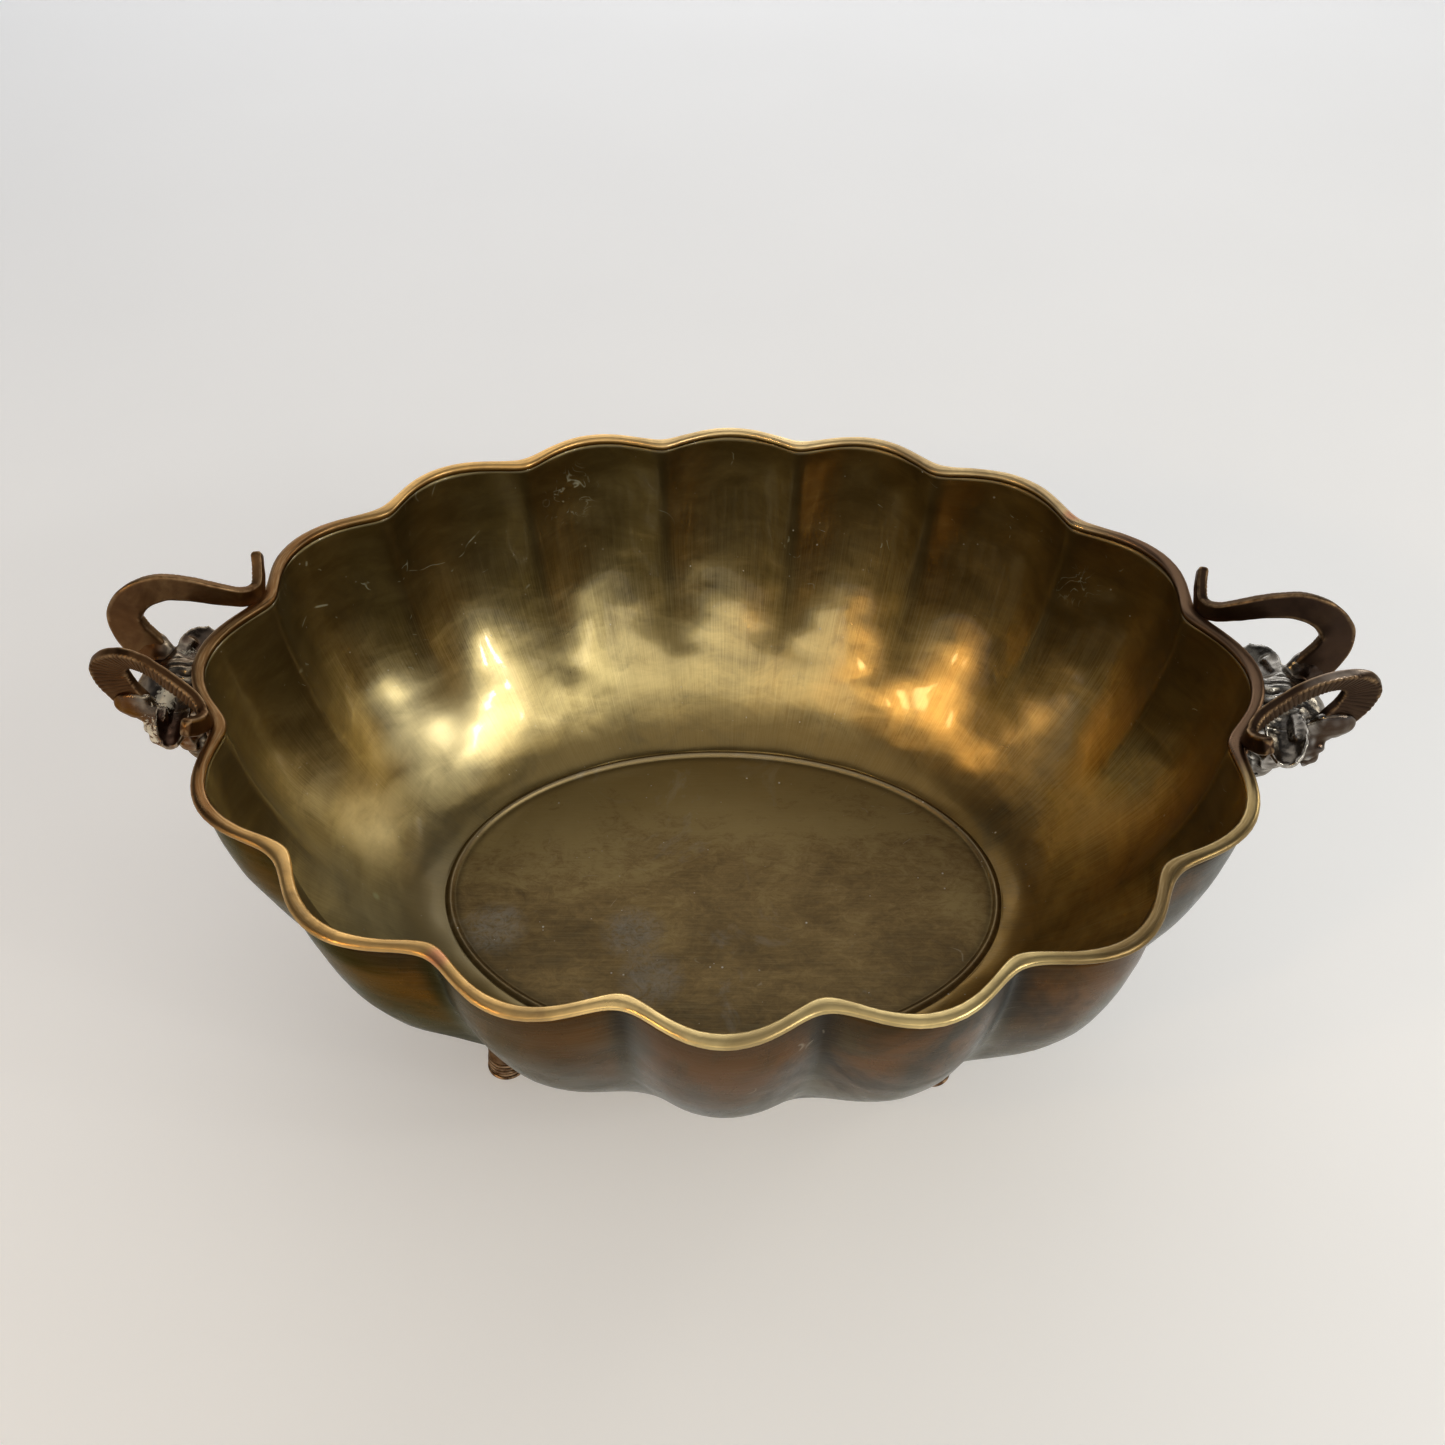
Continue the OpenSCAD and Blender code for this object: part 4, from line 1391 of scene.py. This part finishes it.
def make_braze(name, centres, size, material, seed):
    """A run of small melted beads along centres, in one lumpy skin."""
    centres = np.asarray(centres, float)
    low, high = centres.min(0) - size * 2.2, centres.max(0) + size * 2.2
    step = size / 4.5
    grid = field_grid(low, high, step)
    rng = np.random.default_rng(SEED + seed)
    field = np.full(grid.shape[:3], 1e3)
    for a, b in zip(centres[:-1], centres[1:]):
        bead = rod(grid, a, b, *(size * rng.uniform(0.7, 1.1, 2)))
        field = smooth_union(field, bead, size * 0.6)
    field = field + 0.14 * size * waves(grid, size * 2.4, seed)
    points, quads = surface_net(closed_field(field), low, step)
    make_piece(name, eased(points, quads), quads, [material])


# ---------------------------------------------------------------- build

inner_brass = wall_inner_material()
outer_brass = wall_outer_material()
lip_brass = lip_material()
horn_bronze = horn_material()
foot_bronze = foot_material()
braze_metal = braze_material()

outer_skin = make_wall(inner_brass, outer_brass)
make_lip(lip_brass)
make_floor(floor_material())

# How far each horn's loop is lifted, in millimetres
HORN_LIFTS = {"right_back": 0.0, "right_front": 1.0, "left_back": 0.0, "left_front": 1.5}
for seed, (corner, lift) in enumerate(HORN_LIFTS.items(), 1):
    make_horn(corner, horn_bronze, seed, lift)

make_heads(
    head_material(
        "bronze_head_left",
        low=(0.055, 0.045, 0.036), mid=(0.120, 0.098, 0.078), high=(0.24, 0.20, 0.16),
        side=(0.150, 0.058, 0.018), ear=(0.105, 0.055, 0.036), silver=(0.50, 0.42, 0.31),
        root=(0.105, 0.044, 0.014), edge_tint=(0.70, 0.56, 0.44), gloss=0.20,
    ),
    head_material(
        "bronze_head_right",
        low=(0.034, 0.030, 0.026), mid=(0.170, 0.156, 0.138), high=(0.52, 0.49, 0.45),
        side=(0.050, 0.036, 0.028), ear=(0.170, 0.150, 0.125), silver=(0.84, 0.81, 0.75),
        root=(0.045, 0.026, 0.016), edge_tint=(0.78, 0.74, 0.68), gloss=0.12,
    ),
)

for corner in ("front_left", "front_right", "back_left", "back_right"):
    make_foot(corner, foot_bronze, outer_skin)

# Braze where each horn lies against the outside of the lip
HORN_CONTACT = np.array([
    [243.2, 35.5, -4.5], [240.8, 40.5, -3.2], [239.0, 45.5, -3.0], [237.5, 50.5, -3.4],
])
for side_x, side_name in ((1, "right"), (-1, "left")):
    for side_y, end_name in ((1, "back"), (-1, "front")):
        spots = (HORN_CONTACT + [1.2, 0, RIM_HEIGHT]) * [side_x, side_y, 1]
        make_braze(f"braze_horn_{side_name}_{end_name}", spots, 1.3, braze_metal, 60)

# ---------------------------------------------------------------- studio

ground_mesh = bpy.data.meshes.new("ground")
GROUND_HALF = 6.0
ground_mesh.from_pydata(
    [(x * GROUND_HALF, y * GROUND_HALF, 0) for x, y in ((-1, -1), (1, -1), (1, 1), (-1, 1))],
    [], [(0, 1, 2, 3)],
)
ground_mesh.materials.append(ground_material())
ground = bpy.data.objects.new("ground", ground_mesh)
scene.collection.objects.link(ground)


def add_area(name, place, target, size, power, colour):
    light = bpy.data.lights.new(name, "AREA")
    light.shape = "RECTANGLE"
    light.size, light.size_y = size
    light.energy = power
    light.color = colour
    lamp = bpy.data.objects.new(name, light)
    lamp.location = place
    lamp.rotation_mode = "QUATERNION"
    lamp.rotation_quaternion = (Vector(target) - Vector(place)).to_track_quat("-Z", "Y")
    scene.collection.objects.link(lamp)


BOWL_MIDDLE = (0, 0, 0.10)
# [name, place, target, size, power, colour]
SOFT_LIGHTS = [
    ("soft_left", (-1.5, -1.0, 1.2), BOWL_MIDDLE, (0.9, 0.6), 1.6, (1.0, 0.70, 0.36)),
    ("soft_right", (1.42, -0.78, 1.35), BOWL_MIDDLE, (1.2, 0.8), 6.5, (1.0, 0.94, 0.80)),
    ("far_right", (2.0, 0.95, 0.98), (-0.18, 0, 0.05), (0.5, 0.4), 4.5, (1.0, 0.94, 0.80)),
    ("soft_top", (0.0, -0.45, 2.2), BOWL_MIDDLE, (2.0, 2.2), 6.5, (1.0, 0.95, 0.86)),
    ("soft_front", (0.0, -1.95, 1.62), BOWL_MIDDLE, (2.0, 0.9), 7.5, (1.0, 0.92, 0.76)),
    ("high_back", (0.0, 2.0, 2.1), BOWL_MIDDLE, (3.4, 1.2), 13, (1.0, 0.97, 0.93)),
    ("soft_back", (0.0, 2.6, 0.9), BOWL_MIDDLE, (3.4, 0.7), 15, (0.97, 0.98, 1.0)),
]
for side, name in ((-1, "near"), (1, "far")):
    spread = 0.11 * side
    window = (1.06 + spread, -0.66 + spread, 0.92)
    lamp = (-0.95 + spread, -0.85 - spread, 0.97)
    add_area(f"window_{name}", window, (-0.15, 0.1, 0.08), (0.09, 0.11), 1.2, (1.0, 0.97, 0.90))
    add_area(f"lamp_{name}", lamp, (0.12, 0.12, 0.07), (0.09, 0.12), 1.3, (1.0, 0.64, 0.26))
for light in SOFT_LIGHTS:
    add_area(*light)


def make_world():
    """Pale near the horizon and dim overhead, like a room beyond the studio's lights."""
    world = bpy.data.worlds.new("studio")
    world.use_nodes = True
    tree = world.node_tree
    place = tree.nodes.new("ShaderNodeTexCoord")
    parts = tree.nodes.new("ShaderNodeSeparateXYZ")
    tree.links.new(place.outputs["Generated"], parts.inputs[0])
    height = tree.nodes.new("ShaderNodeValToRGB")
    tree.links.new(parts.outputs[2], height.inputs[0])
    height.color_ramp.elements[0].color = (0.92, 0.92, 0.93, 1)
    height.color_ramp.elements[1].position = 0.42
    height.color_ramp.elements[1].color = (0.085, 0.088, 0.095, 1)
    tree.links.new(height.outputs[0], tree.nodes["Background"].inputs["Color"])
    scene.world = world


make_world()
scene.view_settings.view_transform = "Standard"

# Camera: looks down on the bowl from the front, with the lens of a phone's main camera
PITCH = math.radians(44.7)
ROLL = math.radians(-0.96)
DISTANCE = 0.674
SHIFT_RIGHT, SHIFT_UP = 0.0023, 0.0282
LENS = 34.65
right = Vector((1, 0, 0))
up = Vector((0, math.sin(PITCH), math.cos(PITCH)))
back = Vector((0, -math.cos(PITCH), math.sin(PITCH)))
lip_plane = Vector((0, 0, RIM_HEIGHT * MM))
camera_data = bpy.data.cameras.new("camera")
camera_data.lens = LENS
camera_data.clip_start, camera_data.clip_end = 0.01, 100
camera = bpy.data.objects.new("camera", camera_data)
turned_right = right * math.cos(ROLL) - up * math.sin(ROLL)
turned_up = right * math.sin(ROLL) + up * math.cos(ROLL)
place = lip_plane + back * DISTANCE - right * SHIFT_RIGHT - up * SHIFT_UP
pose = Matrix((turned_right, turned_up, back)).transposed().to_4x4()
camera.matrix_world = Matrix.Translation(place) @ pose
scene.collection.objects.link(camera)
scene.camera = camera
